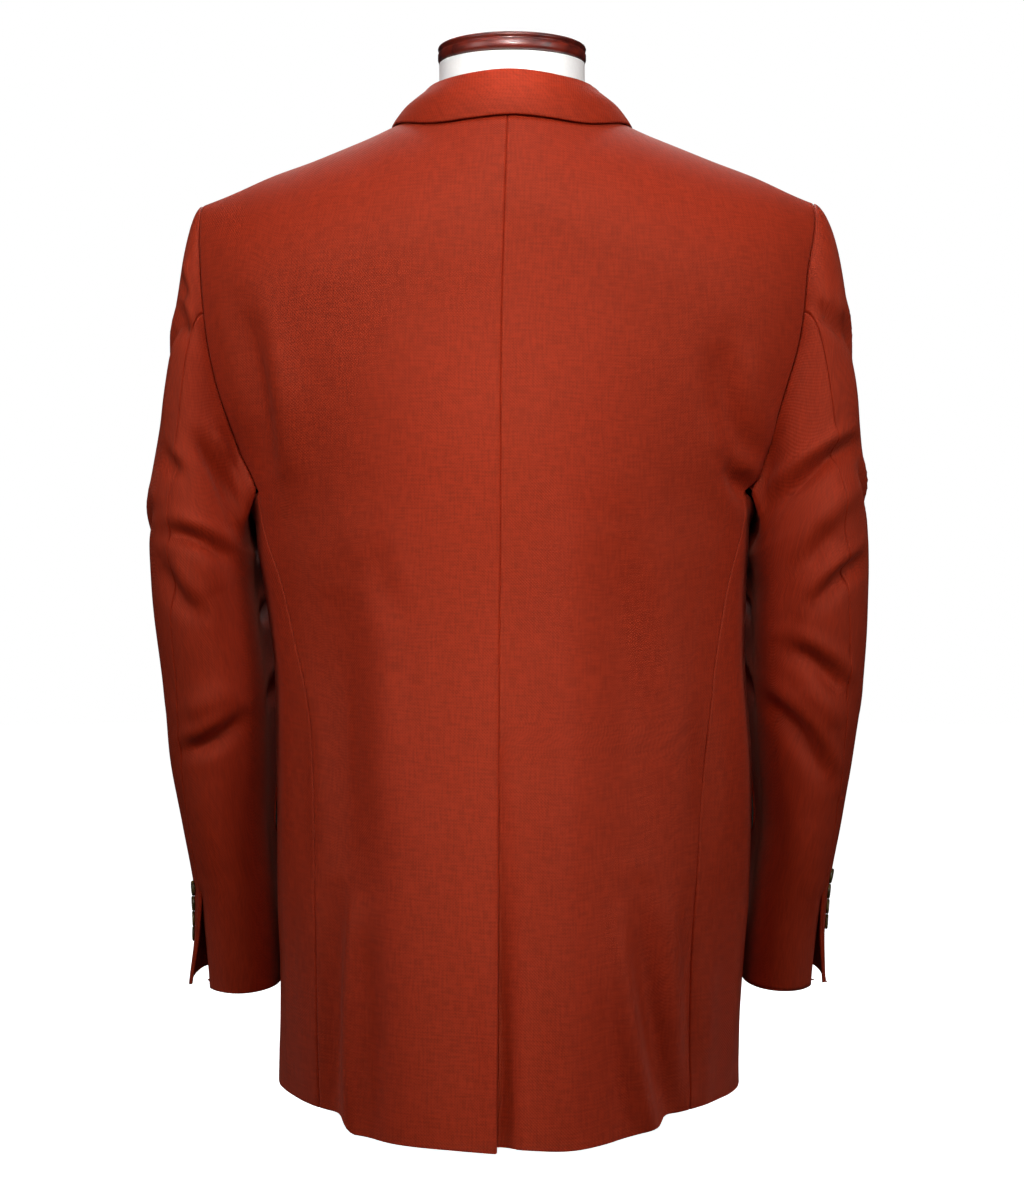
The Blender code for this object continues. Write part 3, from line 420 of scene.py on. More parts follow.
def pressFolds(points, normals, folds):
    # depth of all folds at each point, along its normal
    depth = np.zeros(points.shape[:-1])
    for view, rows in folds.items():
        facing = ease(normals @ np.array(views[view], float), *press["facing"])
        across = points[..., 0] if view in ("back", "front") else points[..., 1]
        flat = np.stack((across, points[..., 2]), axis=-1)
        if facing.max() <= 0.0:
            continue
        for start, end, bow, width, deep in rows:
            start, end = np.array(start) / 1000, np.array(end) / 1000
            along = end - start
            sideways = np.array((-along[1], along[0])) / np.linalg.norm(along)
            middle = (start + end) / 2 + sideways * bow / 1000 * 2
            steps = np.linspace(0.0, 1.0, press["legs"] + 1)[:, None]
            path = (1 - steps)**2 * start + 2 * steps * (1 - steps) * middle + steps**2 * end
            nearest = np.full(depth.shape, press["far"])
            place, above = np.zeros(depth.shape), np.zeros(depth.shape)
            upward = sideways if sideways[1] > 0 else -sideways
            for k in range(press["legs"]):
                leg = path[k + 1] - path[k]
                t = np.clip((flat - path[k]) @ leg / (leg @ leg), 0.0, 1.0)
                away = flat - path[k] - t[..., None] * leg
                gap = np.linalg.norm(away, axis=-1)
                closer = gap < nearest
                above = np.where(closer, away @ upward, above)
                nearest = np.where(closer, gap, nearest)
                place = np.where(closer, (k + t) / press["legs"], place)
            taper = np.sin(math.pi * np.clip(place, 0.02, 0.98)) ** press["blunt"]
            profile = np.exp(-(nearest * 1000 / width)**2)
            if deep < 0:    # a roll of cloth hangs over the crease
                over = np.sign(above) * nearest * 1000 / width
                rolled = np.exp(-((over - press["overAt"]) / press["overWide"])**2)
                profile = profile - press["over"] * rolled
            depth += deep / 1000 * taper * facing * profile
    return depth


# slow unevenness of pressed cloth, a few tenths of a millimetre: two products of waves,
# each with its radians per metre along x, y and z, and where it starts
uneven = {
    "depth": (0.00045, 0.00016),
    "first": ((31, 0, 17, 2.1), (83, 0, -41, 1.3)),
    "second": ((0, -19, 23, 0.7), (0, 59, 67, 4.0)),
}


def handling(points):
    depth = 0.0
    for k, deep in enumerate(uneven["depth"]):
        waves = [np.sin(points @ np.array(uneven[key][k][:3], float) + uneven[key][k][3])
                 for key in ("first", "second")]
        depth = depth + deep * waves[0] * waves[1]
    return depth


# materials

def newMaterial(name):
    material = bpy.data.materials.new(name)
    material.use_nodes = True
    tree = material.node_tree
    return material, tree, tree.nodes["Principled BSDF"]


def objectPlace(tree, sizes):
    # places on the object, counted in the pattern's own sizes in mm
    place = addNode(tree, "ShaderNodeTexCoord")
    return addNode(tree, "ShaderNodeMapping", {"Scale": [1000 / size for size in sizes]},
                   {"Vector": place.outputs["Object"]})


def threadPlaces(tree, pitch):
    # the mesh's thread map is in metres along and across the cloth
    place = addNode(tree, "ShaderNodeUVMap", {"uv_map": "thread"})
    split = addNode(tree, "ShaderNodeSeparateXYZ", links={0: place.outputs[0]})
    waves = []
    for axis in (0, 1):
        scaled = addNode(tree, "ShaderNodeMath",
                         {"operation": "MULTIPLY", 1: math.pi * 1000 / pitch},
                         {0: split.outputs[axis]})
        waves.append(addNode(tree, "ShaderNodeMath", {"operation": "SINE"},
                             {0: scaled.outputs[0]}))
    return place, waves


def slubNoise(tree, place, wide, tall):
    stretch = addNode(tree, "ShaderNodeMapping", {"Scale": (1000 / wide, 1000 / tall, 1.0)},
                      {"Vector": place.outputs[0]})
    return addNode(tree, "ShaderNodeTexNoise",
                   {"Scale": 1.0, "Detail": 2.0, "Roughness": 0.55, "noise_dimensions": "2D"},
                   {"Vector": stretch.outputs[0]})


wool = {
    "dark": "#8F210A", "light": "#AA2C10",
    "threadPitch": 1.15,    # mm; the real one is 0.45, drawn as coarse as it needs to show
    "slubLength": 14.0,     # mm, of the thicker stretches of yarn
    "slubWidth": 1.6,
    "cloud": 1000 / 14,     # mm, of the slow unevenness of the dye
    "weaveShade": 0.22, "cloudShade": 0.15, "toneLow": 0.78, "toneHigh": 1.37,
    "weaveDepth": 0.00022, "weaveStrength": 0.5, "yarnShare": 0.5,
    "roughness": 0.62, "specular": 0.28, "specularTint": "#FFEFCB",
    "sheen": 0.11, "sheenRoughness": 0.45, "sheenTint": "#F0A890",
}


def makeWool():
    # plain-weave worsted, pressed: soft, nearly matt, uneven yarn in both directions
    material, tree, shader = newMaterial("worstedWoolPlainWeavePressed")
    place, waves = threadPlaces(tree, wool["threadPitch"])
    weave = addNode(tree, "ShaderNodeMath", {"operation": "MULTIPLY"},
                    {0: waves[0].outputs[0], 1: waves[1].outputs[0]})
    warp = slubNoise(tree, place, wool["slubWidth"], wool["slubLength"])
    weft = slubNoise(tree, place, wool["slubLength"], wool["slubWidth"])
    yarn = addNode(tree, "ShaderNodeMath", {"operation": "ADD"},
                   {0: warp.outputs[0], 1: weft.outputs[0]})
    woven = addNode(tree, "ShaderNodeMath", {"operation": "MULTIPLY_ADD", 1: wool["weaveShade"]},
                    {0: weave.outputs[0], 2: yarn.outputs[0]})
    cloudy = addNode(tree, "ShaderNodeTexNoise", {"Scale": 1.0, "Detail": 3.0},
                     {"Vector": objectPlace(tree, [wool["cloud"]] * 3).outputs[0]})
    both = addNode(tree, "ShaderNodeMath", {"operation": "MULTIPLY_ADD", 1: wool["cloudShade"]},
                   {0: cloudy.outputs[0], 2: woven.outputs[0]})
    tone = addNode(tree, "ShaderNodeMapRange",
                   {"From Min": wool["toneLow"], "From Max": wool["toneHigh"]},
                   {"Value": both.outputs[0]})
    colour = addNode(tree, "ShaderNodeMix",
                     {"data_type": "RGBA", 6: linear(wool["dark"]), 7: linear(wool["light"])},
                     {0: tone.outputs[0]})
    height = addNode(tree, "ShaderNodeMath", {"operation": "MULTIPLY_ADD", 1: wool["yarnShare"]},
                     {0: yarn.outputs[0], 2: weave.outputs[0]})
    bump = addNode(tree, "ShaderNodeBump",
                   {"Strength": wool["weaveStrength"], "Distance": wool["weaveDepth"]},
                   {"Height": height.outputs[0]})
    fillNode(tree, shader, {
        "Roughness": wool["roughness"], "Specular IOR Level": wool["specular"],
        "Specular Tint": linear(wool["specularTint"]), "Sheen Weight": wool["sheen"],
        "Sheen Roughness": wool["sheenRoughness"], "Sheen Tint": linear(wool["sheenTint"]),
    }, {"Base Color": colour.outputs[2], "Normal": bump.outputs[0]})
    return material


lining = {"colour": "#3B3320", "threadPitch": 0.9, "depth": 0.0001, "strength": 0.25,
          "roughness": 0.42, "sheen": 0.15}


def makeLining():
    # twill-woven viscose: smooth, a dull shine with faint slanting ribs
    material, tree, shader = newMaterial("viscoseLiningTwill")
    waves = threadPlaces(tree, lining["threadPitch"])[1]
    twill = addNode(tree, "ShaderNodeMath", {"operation": "ADD"},
                    {0: waves[0].outputs[0], 1: waves[1].outputs[0]})
    bump = addNode(tree, "ShaderNodeBump",
                   {"Strength": lining["strength"], "Distance": lining["depth"]},
                   {"Height": twill.outputs[0]})
    fillNode(tree, shader, {"Base Color": linear(lining["colour"]),
                            "Roughness": lining["roughness"], "Sheen Weight": lining["sheen"]},
             {"Normal": bump.outputs[0]})
    return material


horn = {"dark": "#40351A", "light": "#7C6737", "grain": (1000 / 420, 1000 / 260, 1000 / 90),
        "toneLow": 0.42, "toneHigh": 0.72, "roughness": 0.24, "ior": 1.54}

mahogany = {"dark": "#3E0B06", "light": "#76200F", "grain": (62.5, 1000 / 120, 1000 / 120),
            "toneLow": 0.35, "toneHigh": 0.68, "roughness": 0.42, "coat": 0.5,
            "coatRoughness": 0.22}


def makeStreaked(name, look, noise, finish):
    # streaks of a lighter tone along the grain of the stuff, sizes in mm
    material, tree, shader = newMaterial(name)
    streaks = addNode(tree, "ShaderNodeTexNoise", {"Scale": 1.0, **noise},
                      {"Vector": objectPlace(tree, look["grain"]).outputs[0]})
    tone = addNode(tree, "ShaderNodeMapRange",
                   {"From Min": look["toneLow"], "From Max": look["toneHigh"]},
                   {"Value": streaks.outputs[0]})
    colour = addNode(tree, "ShaderNodeMix",
                     {"data_type": "RGBA", 6: linear(look["dark"]), 7: linear(look["light"])},
                     {0: tone.outputs[0]})
    fillNode(tree, shader, {"Roughness": look["roughness"], **finish},
             {"Base Color": colour.outputs[2]})
    return material


thread = {"colour": "#4A2A16", "twist": 0.4, "depth": 0.0001, "strength": 0.5,
          "roughness": 0.6}


def makeThread():
    # twisted polyester button thread: matt, with a fine twist
    material, tree, shader = newMaterial("polyesterThreadTwisted")
    twist = addNode(tree, "ShaderNodeTexNoise", {"Scale": 1.0, "Detail": 1.0},
                    {"Vector": objectPlace(tree, [thread["twist"]] * 3).outputs[0]})
    bump = addNode(tree, "ShaderNodeBump",
                   {"Strength": thread["strength"], "Distance": thread["depth"]},
                   {"Height": twist.outputs[0]})
    fillNode(tree, shader, {"Base Color": linear(thread["colour"]),
                            "Roughness": thread["roughness"]}, {"Normal": bump.outputs[0]})
    return material


jersey = {
    "light": "#FCFCFA", "shade": "#F2F1EE",
    "fuzz": 1000 / 420,     # mm
    "rib": 1.309,           # mm from rib to rib; a wave repeats every 0.314 of its scale
    "distortion": 1.2, "depth": 0.0002, "strength": 0.25, "roughness": 0.9, "sheen": 0.2,
}


def makeJersey():
    # cotton jersey stretched over the form: matt, fine ribs of knitting
    material, tree, shader = newMaterial("cottonJerseyKnitted")
    place = addNode(tree, "ShaderNodeTexCoord")
    fuzz = addNode(tree, "ShaderNodeTexNoise", {"Scale": 1000 / jersey["fuzz"], "Detail": 3.0},
                   {"Vector": place.outputs["Object"]})
    ribs = addNode(tree, "ShaderNodeTexWave",
                   {"Scale": 1000 * math.pi / 10 / jersey["rib"],
                    "Distortion": jersey["distortion"], "bands_direction": "X"},
                   {"Vector": place.outputs["Object"]})
    mixed = addNode(tree, "ShaderNodeMath", {"operation": "ADD"},
                    {0: fuzz.outputs[0], 1: ribs.outputs[1]})
    colour = addNode(tree, "ShaderNodeMix",
                     {"data_type": "RGBA", 6: linear(jersey["shade"]),
                      7: linear(jersey["light"])}, {0: fuzz.outputs[0]})
    bump = addNode(tree, "ShaderNodeBump",
                   {"Strength": jersey["strength"], "Distance": jersey["depth"]},
                   {"Height": mixed.outputs[0]})
    fillNode(tree, shader, {"Roughness": jersey["roughness"], "Sheen Weight": jersey["sheen"]},
             {"Base Color": colour.outputs[2], "Normal": bump.outputs[0]})
    return material


woolMaterial = makeWool()
liningMaterial = makeLining()
# polished horn: dark, softly streaked, with a clear gloss
hornMaterial = makeStreaked("buffaloHornTurnedPolished", horn, {"Detail": 4.0},
                            {"IOR": horn["ior"]})
threadMaterial = makeThread()
jerseyMaterial = makeJersey()
# mahogany, turned and lacquered: dark red grain under a soft gloss
mahoganyMaterial = makeStreaked("mahoganyTurnedLacquered", mahogany,
                                {"Detail": 6.0, "Distortion": 0.6},
                                {"Coat Weight": mahogany["coat"],
                                 "Coat Roughness": mahogany["coatRoughness"]})
print("materials made")


# meshes of cloth

def gridNormals(grid, centre):
    # square to the cloth, pointing away from the centre line
    up = np.gradient(grid, axis=0)
    along = np.gradient(grid, axis=1)
    normals = np.cross(along, up)
    normals /= np.linalg.norm(normals, axis=-1, keepdims=True) + 1e-12
    outward = grid - np.array(centre)
    outward[..., 2] = 0.0
    if np.sum(normals * outward) < 0:
        normals = -normals
    return normals


def arcFrom(grid, axis):
    # length along the rows or columns from their first point
    legs = np.linalg.norm(np.diff(grid, axis=axis), axis=-1)
    zero = np.zeros_like(np.take(legs, [0], axis=axis))
    return np.concatenate((zero, np.cumsum(legs, axis=axis)), axis=axis)


def edgeShares(length, step, rolledStart=True, rolledEnd=True):
    # places along a length, close together where an edge rolls in
    near = np.array(cloth["near"])
    first = near / length if rolledStart else np.array((0.0,))
    last = 1.0 - near[::-1] / length if rolledEnd else np.array((1.0,))
    count = max(int((last[0] - first[-1]) * length / step), 3)
    middle = np.linspace(first[-1], last[0], count + 1)[1:-1]
    return np.concatenate((first, middle, last))


def rollEdges(grid, normals, edges):
    # edges that are sewn dip into the seam
    rowArc = arcFrom(grid, 1)
    columnArc = arcFrom(grid, 0)
    gaps = {"left": rowArc, "right": rowArc[:, -1:] - rowArc,
            "low": columnArc, "high": columnArc[-1:, :] - columnArc}
    dip = np.zeros(grid.shape[:-1])
    for edge in edges:
        dip = np.maximum(dip, np.exp(-(gaps[edge] / cloth["seamRoll"])**2))
    return grid - normals * (dip * cloth["seamDip"])[..., None]


def addAllowance(grid, normals, edge, underlap=None):
    # the seam allowance dips under the neighbour and lies flat there; an underlap is a
    # wider one, with its own width at each point of the edge, that bends with the body
    flip = {"left": (1, False), "right": (1, True), "low": (0, False), "high": (0, True)}
    axis, atEnd = flip[edge]
    last = -1 if atEnd else 0
    inner = -3 if atEnd else 2
    border = np.take(grid, last, axis=axis)
    normal = np.take(normals, last, axis=axis)
    out = border - np.take(grid, inner, axis=axis)
    out -= normal * np.sum(out * normal, axis=-1, keepdims=True)
    out /= np.linalg.norm(out, axis=-1, keepdims=True) + 1e-9
    rows = [border + out * across - normal * down for across, down in cloth["tuck"]]
    width = cloth["allowance"] if underlap is None else underlap[:, None]
    for share in np.linspace(0.0, 1.0, 2 if underlap is None else 10)[1:]:
        across = cloth["tuckOut"] + width * share
        down = cloth["tuckDown"] + across**2 / cloth["lapBend"]
        rows.append(border + out * across - normal * down)
    if not atEnd:
        rows.reverse()
    extra = np.stack(rows, axis=axis)
    more = np.stack([normal] * len(rows), axis=axis)
    parts = (grid, extra) if atEnd else (extra, grid)
    moreParts = (normals, more) if atEnd else (more, normals)
    return np.concatenate(parts, axis=axis), np.concatenate(moreParts, axis=axis)


def clothMesh(name, grid, normals, inside, wall=None):
    # closed wall around a grid, with a rounded rim; inside(points) picks the lining
    wall = wall or cloth["wall"]
    rows, columns = grid.shape[:2]
    outer = grid + normals * wall / 2
    inner = grid - normals * wall / 2
    loop = ([(0, j) for j in range(columns)] + [(i, columns - 1) for i in range(1, rows)]
            + [(rows - 1, j) for j in range(columns - 2, -1, -1)]
            + [(i, 0) for i in range(rows - 2, 0, -1)])
    li, lj = np.array(loop).T
    toI = np.where(li == 0, 1, np.where(li == rows - 1, rows - 2, li))
    toJ = np.where(lj == 0, 1, np.where(lj == columns - 1, columns - 2, lj))
    border, normal = grid[li, lj], normals[li, lj]
    out = border - grid[toI, toJ]
    out -= normal * np.sum(out * normal, axis=-1, keepdims=True)
    out /= np.linalg.norm(out, axis=-1, keepdims=True) + 1e-9
    rims = []
    for angle in (math.pi / 4, 0.0, -math.pi / 4):
        rims.append(border + wall / 2 * (out * math.cos(angle) + normal * math.sin(angle)))
    points = np.concatenate((outer.reshape(-1, 3), inner.reshape(-1, 3), *rims))
    count, ring = rows * columns, len(loop)
    index = np.arange(count).reshape(rows, columns)
    a, b = index[:-1, :-1].ravel(), index[:-1, 1:].ravel()
    c, d = index[1:, 1:].ravel(), index[1:, :-1].ravel()
    lead = np.cross(grid[0, 1] - grid[0, 0], grid[1, 0] - grid[0, 0])
    turned = np.dot(lead, normals[0, 0]) < 0
    front = np.stack((a, b, c, d), axis=-1)
    back = np.stack((d, c, b, a), axis=-1) + count
    border = index[li, lj]
    levels = [border] + [2 * count + k * ring + np.arange(ring) for k in range(3)]
    levels.append(border + count)
    sides = []
    for high, low in zip(levels, levels[1:]):
        sides.append(np.stack((high, low, np.roll(low, -1), np.roll(high, -1)), axis=-1))
    faces = np.concatenate((front, back, *sides))
    if turned:
        faces = faces[:, ::-1]
    mesh = bpy.data.meshes.new(name)
    mesh.from_pydata(points.tolist(), [], faces.tolist())
    across, up = arcFrom(grid, 1), arcFrom(grid, 0)
    flatPlace = np.stack((across, up), axis=-1).reshape(-1, 2)
    place = np.concatenate((flatPlace, flatPlace, *[flatPlace[border]] * 3))
    corner = np.empty(len(mesh.loops), dtype=np.int32)
    mesh.loops.foreach_get("vertex_index", corner)
    uvs = mesh.uv_layers.new(name="thread")
    uvs.data.foreach_set("uv", place[corner].astype(np.float32).ravel())
    lined = np.zeros(len(faces), dtype=np.int32)
    centres = inner[:-1, :-1].reshape(-1, 3)
    lined[len(front):len(front) + len(back)] = inside(centres)    # 1 is the lining
    mesh.polygons.foreach_set("material_index", lined)
    mesh.polygons.foreach_set("use_smooth", np.ones(len(faces), dtype=bool))
    mesh.update()
    return mesh


def addPiece(name, mesh, materials, node):
    piece = bpy.data.objects.new(name, mesh)
    for material in materials:
        mesh.materials.append(material)
    bpy.context.scene.collection.objects.link(piece)
    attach(piece, "root")
    if node:
        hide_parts(node)
    return piece


def clothPiece(node, grid, centre, edges, allowances, inside, folds, lift=0.0,
               wall=None, underlap=None):
    # presses the folds into a grid, rolls its sewn edges in and gives it a wall
    normals = gridNormals(grid, centre)
    depth = pressFolds(grid, normals, folds) + handling(grid) + lift
    grid = grid + normals * depth[..., None]
    normals = gridNormals(grid, centre)
    grid = rollEdges(grid, normals, edges)
    for edge in allowances:
        grid, normals = addAllowance(grid, normals, edge, underlap if edge == "left" else None)
    if not allowances:
        normals = gridNormals(grid, centre)
    mesh = clothMesh(node, grid, normals, inside, wall)
    name = node[0] + joined(node)[1:] + "Cloth"
    piece = addPiece(name, mesh, (woolMaterial, liningMaterial), node)


# back, sides and fronts

def hemHeight(side, turn, level):
    # rows keep the hem's shape low down and are level further up
    low = curve(hem, sideName(side), np.abs(turn)) - hem["level"]
    return level + low * (1.0 - ease(level, hem["level"], hem["fade"]))


def lowerRows(side, levels, shares, firstTurn, lastTurn):
    turns = blend(firstTurn[:, None], lastTurn[:, None], shares[None, :])
    heights = hemHeight(side, turns, levels[:, None])
    return ringPoint(side, turns, heights)


def bodyLevels():
    step = cloth["step"]
    low = hem["level"] + np.array(cloth["hemNear"])
    rest = np.arange(low[-1] + step, shoulder["underarm"] - step / 2, step)
    return np.concatenate((low, rest, (shoulder["underarm"],)))


def coons(bottom, top, start, end, shares, lifts):
    # points (out, climb) between four edges, each an array of (out, climb)
    u, v = shares[None, :, None], lifts[:, None, None]
    sides = blend(start[:, None, :], end[:, None, :], u)
    ends = blend(bottom[None, :, :], top[None, :, :], v)
    low = blend(bottom[0], bottom[-1], u)
    high = blend(top[0], top[-1], u)
    return sides + ends - blend(low, high, v)


def upperRows(side, face, row, top, start, end, shares, lifts):
    bottom = np.stack((row[:, 0] * side, climbOf(row[:, 0], row[:, 2])), axis=-1)
    flat = coons(bottom, top, start, end, shares, lifts)
    out, climb = flat[..., 0], np.maximum(flat[..., 1], 0.0)
    return upperPoint(side, face, side * out, climb)


def backStart(side, height):
    return side * curve(seams, "centre", height) + cloth["seamGap"] / 2


def ventSink(side, points):
    # below the vent's top the overlap stands off a little and the underlap falls in
    x, z, top = points[..., 0], points[..., 2], vent["top"]
    low = 1.0 - ease(z, vent["foot"], top)
    if side > 0:
        return vent["lift"] * low * (1.0 - ease(x, *vent["liftOut"]))
    sink = vent["depthTop"] * (1.0 - ease(z, top + vent["fade"][0], top + vent["fade"][1]))
    sink = sink + (vent["depthHem"] - vent["depthTop"]) * low
    near = blend(*vent["sinkIn"], ease(z, vent["sinkLevel"], top))
    return -sink * ease(x, near, vent["sinkOut"])


def liningAbove(height):
    return lambda points: points[:, 2] > height


allWool, allLining = liningAbove(9.0), liningAbove(-1.0)


def makeBack(side):
    levels = bodyLevels()
    seam = curve(seams, sideName(side), levels) - cloth["seamGap"] / 2
    first = turnOf(side, 1, backStart(side, levels), levels)
    last = turnOf(side, 1, seam, levels)
    shares = edgeShares(spans["back"], cloth["step"])
    low = lowerRows(side, levels, shares, first, last)
    lifts = edgeShares(spans["backRise"], cloth["step"], rolledStart=False)
    tipOut = float(armholeAt(side, 1, np.array(0.0))[0])
    seamOut, seamClimb = neckSeam(side, np.clip(shares * 2, 0.0, 1.0))
    onShoulder = blend(neck["halfWidth"], tipOut, np.clip(shares * 2 - 1, 0.0, 1.0))
    top = np.stack((np.where(shares < 0.5, seamOut, onShoulder),
                    np.where(shares < 0.5, seamClimb, 0.0)), axis=-1)
    row = low[-1]
    startClimb = blend(float(climbOf(row[0, 0], row[0, 2])), float(top[0, 1]), lifts)
    startLevel = curve(ridge, "height", 0.0) - dropOf(startClimb)
    start = np.stack((backStart(side, startLevel), startClimb), axis=-1)
    end = np.stack(armholeAt(side, 1, 1.0 - lifts), axis=-1)
    high = upperRows(side, 1, row, top, start, end, shares, lifts)
    grid = np.concatenate((low, high[1:]))
    lined = liningAbove(hem["level"] + cloth["hemTurnUp"])
    sewn = ease(grid[:, 0, 2], vent["top"] + vent["sewn"][0], vent["top"] + vent["sewn"][1])
    clothPiece("back_" + sideName(side), grid, (0, 0, 0), ["left", "right", "high"],
               ["left"] if side < 0 else [], lined, bodyFolds, lift=ventSink(side, grid),
               underlap=blend(vent["underlap"], cloth["allowance"], sewn))


def makeSide(side):
    levels = bodyLevels()
    seam = curve(seams, sideName(side), levels) + cloth["seamGap"] / 2
    first = turnOf(side, 1, seam, levels)
    last = curve(seams, "frontTurn", levels)
    shares = edgeShares(spans["side"], cloth["step"])
    grid = lowerRows(side, levels, shares, first, last)
    near = ease(levels, shoulder["dipFrom"], shoulder["underarm"])
    dip = shoulder["dipDepth"] * near[:, None] * np.sin(math.pi * shares)[None, :]
    grid[..., 2] -= dip
    lined = liningAbove(hem["level"] + cloth["hemTurnUp"])
    clothPiece("side_" + sideName(side), grid, (0, 0, 0), ["left", "right", "high"],
               ["left", "right"], lined, bodyFolds)
    return shares, grid[-1]


def frontStart(height):
    rolled = rollOut(climbOf(front["rollAt"], height))
    return np.where(height > front["breakPoint"], rolled, curve(frontEdge, "out", height))


def frontLift(side, points):
    if side < 0:
        return np.zeros(points.shape[:-1])
    near = 1.0 - ease(points[..., 0], *front["liftOut"])
    return front["overlapLift"] * near * (1.0 - ease(points[..., 2], *front["liftUp"]))


def makeFront(side):
    levels = bodyLevels()
    gap = np.degrees(cloth["seamGap"] / curve(sections, sideName(side), levels))
    first = turnOf(side, -1, frontStart(levels), levels)
    last = curve(seams, "frontTurn", levels) + gap
    shares = edgeShares(spans["front"], cloth["step"], rolledStart=False)
    low = lowerRows(side, levels, shares, first, last)
    lifts = edgeShares(spans["frontRise"], cloth["step"], rolledStart=False)
    tipOut = float(armholeAt(side, -1, np.array(0.0))[0])
    top = np.stack((blend(neck["halfWidth"], tipOut, shares), shares * 0), axis=-1)
    row = low[-1]
    startClimb = blend(float(climbOf(row[0, 0], row[0, 2])), 0.0, lifts)
    start = np.stack((rollOut(startClimb), startClimb), axis=-1)
    end = np.stack(armholeAt(side, -1, 1.0 - lifts), axis=-1)
    high = upperRows(side, -1, row, top, start, end, shares, lifts)
    grid = np.concatenate((low, high[1:]))

    def lined(points):
        away = points[:, 0] * side > front["facing"]
        return away & (points[:, 2] > hem["level"] + cloth["hemTurnUp"])

    clothPiece("front_" + sideName(side), grid, (0, 0, 0), ["right", "high"],
               ["high"], lined, bodyFolds, lift=frontLift(side, grid))


# lapels and collar

lapel = {
    "share": (0.00, 0.12, 0.30, 0.50, 0.70, 0.88, 1.00),
    "width": (0.006, 0.026, 0.045, 0.060, 0.071, 0.079, 0.082),
    "layer": 0.0028,        # lies this far above the front
    "belly": 0.0024,        # extra height where it rolls over
    "inside": 0.0019,       # the facing lies this far below the front
    "facing": 0.014,
    "fullAt": 0.02,         # the facing has its full width where the lapel is this wide
    "gorge": 0.098,         # from the shoulder seam down to the gorge seam
    "gorgeRise": 0.002,
    "below": 0.006, "above": 0.001,         # past the roll line's ends
    "bellyFrom": (0.02, 0.30), "bellyTo": (0.75, 1.00), "bellyLost": 0.6,
    "bend": 0.0012, "soft": 0.012,          # the roll flattens out over this width
    "rows": 96, "facingColumns": 5, "bendColumns": 13, "faceColumns": 26,
    "centre": (0.05, 0.06), "wall": 0.0015,
}

collar = {
    "station": (0, 1, 2, 3, 4, 5, 6, 7, 8, 9),
    "baseX": (0.0000, 0.0260, 0.0490, 0.0665, 0.0750, 0.0790, 0.0775, 0.0725, 0.0670, 0.0620),
    "baseY": (0.0750, 0.0707, 0.0573, 0.0362, 0.0162, -0.0050, -0.0280, -0.0500, -0.0640,
              -0.0780),
    "foldX": (0.0000, 0.0235, 0.0435, 0.0600, 0.0690, 0.0725, 0.0712, 0.0675, 0.0628, 0.0585),
    "foldY": (0.0800, 0.0755, 0.0625, 0.0410, 0.0170, -0.0080, -0.0310, -0.0530, -0.0690,
              -0.0840),
    "rise": (0.0290, 0.0280, 0.0255, 0.0215, 0.0165, 0.0115, 0.0085, 0.0072, 0.0068, 0.0068),
    "edgeX": (0.0000, 0.0280, 0.0560, 0.0770, 0.0900, 0.0955, 0.0990, 0.1030, 0.1050, 0.0930),
    "edgeY": (0.0905, 0.0870, 0.0750, 0.0530, 0.0240, -0.0080, -0.0320, -0.0530, -0.0690,
              -0.0850),
    "lift": (0.0048, 0.0046, 0.0042, 0.0036, 0.0031, 0.0028, 0.0029, 0.0035, 0.0044, 0.0046),
    "foldRadius": 0.0016,
    "footDown": 0.0060,     # the stand reaches down inside the neck
    "footUp": 0.0030, "footIn": 0.0015,
    "bulge": ((0.45, 0.0016, 0.0014), (0.80, 0.0008, 0.0010)),  # share of the fall, up, out
    "places": (40, 96, 40), "turns": 5, "rows": 44,             # of the mesh
    "wall": 0.0018,
}


def surfaceNormal(side, face, out, climb):
    nudge = 0.0005
    across = (upperPoint(side, face, side * (out + nudge), climb)
              - upperPoint(side, face, side * (out - nudge), climb))
    down = (upperPoint(side, face, side * out, climb + nudge)
            - upperPoint(side, face, side * out, np.maximum(climb - nudge, 0.0)))
    normal = np.cross(across, down)
    normal /= np.linalg.norm(normal, axis=-1, keepdims=True) + 1e-12
    flip = np.sign(normal[..., 1:2] * face + normal[..., 2:3] * 0.5 + 1e-9)
    return normal * flip


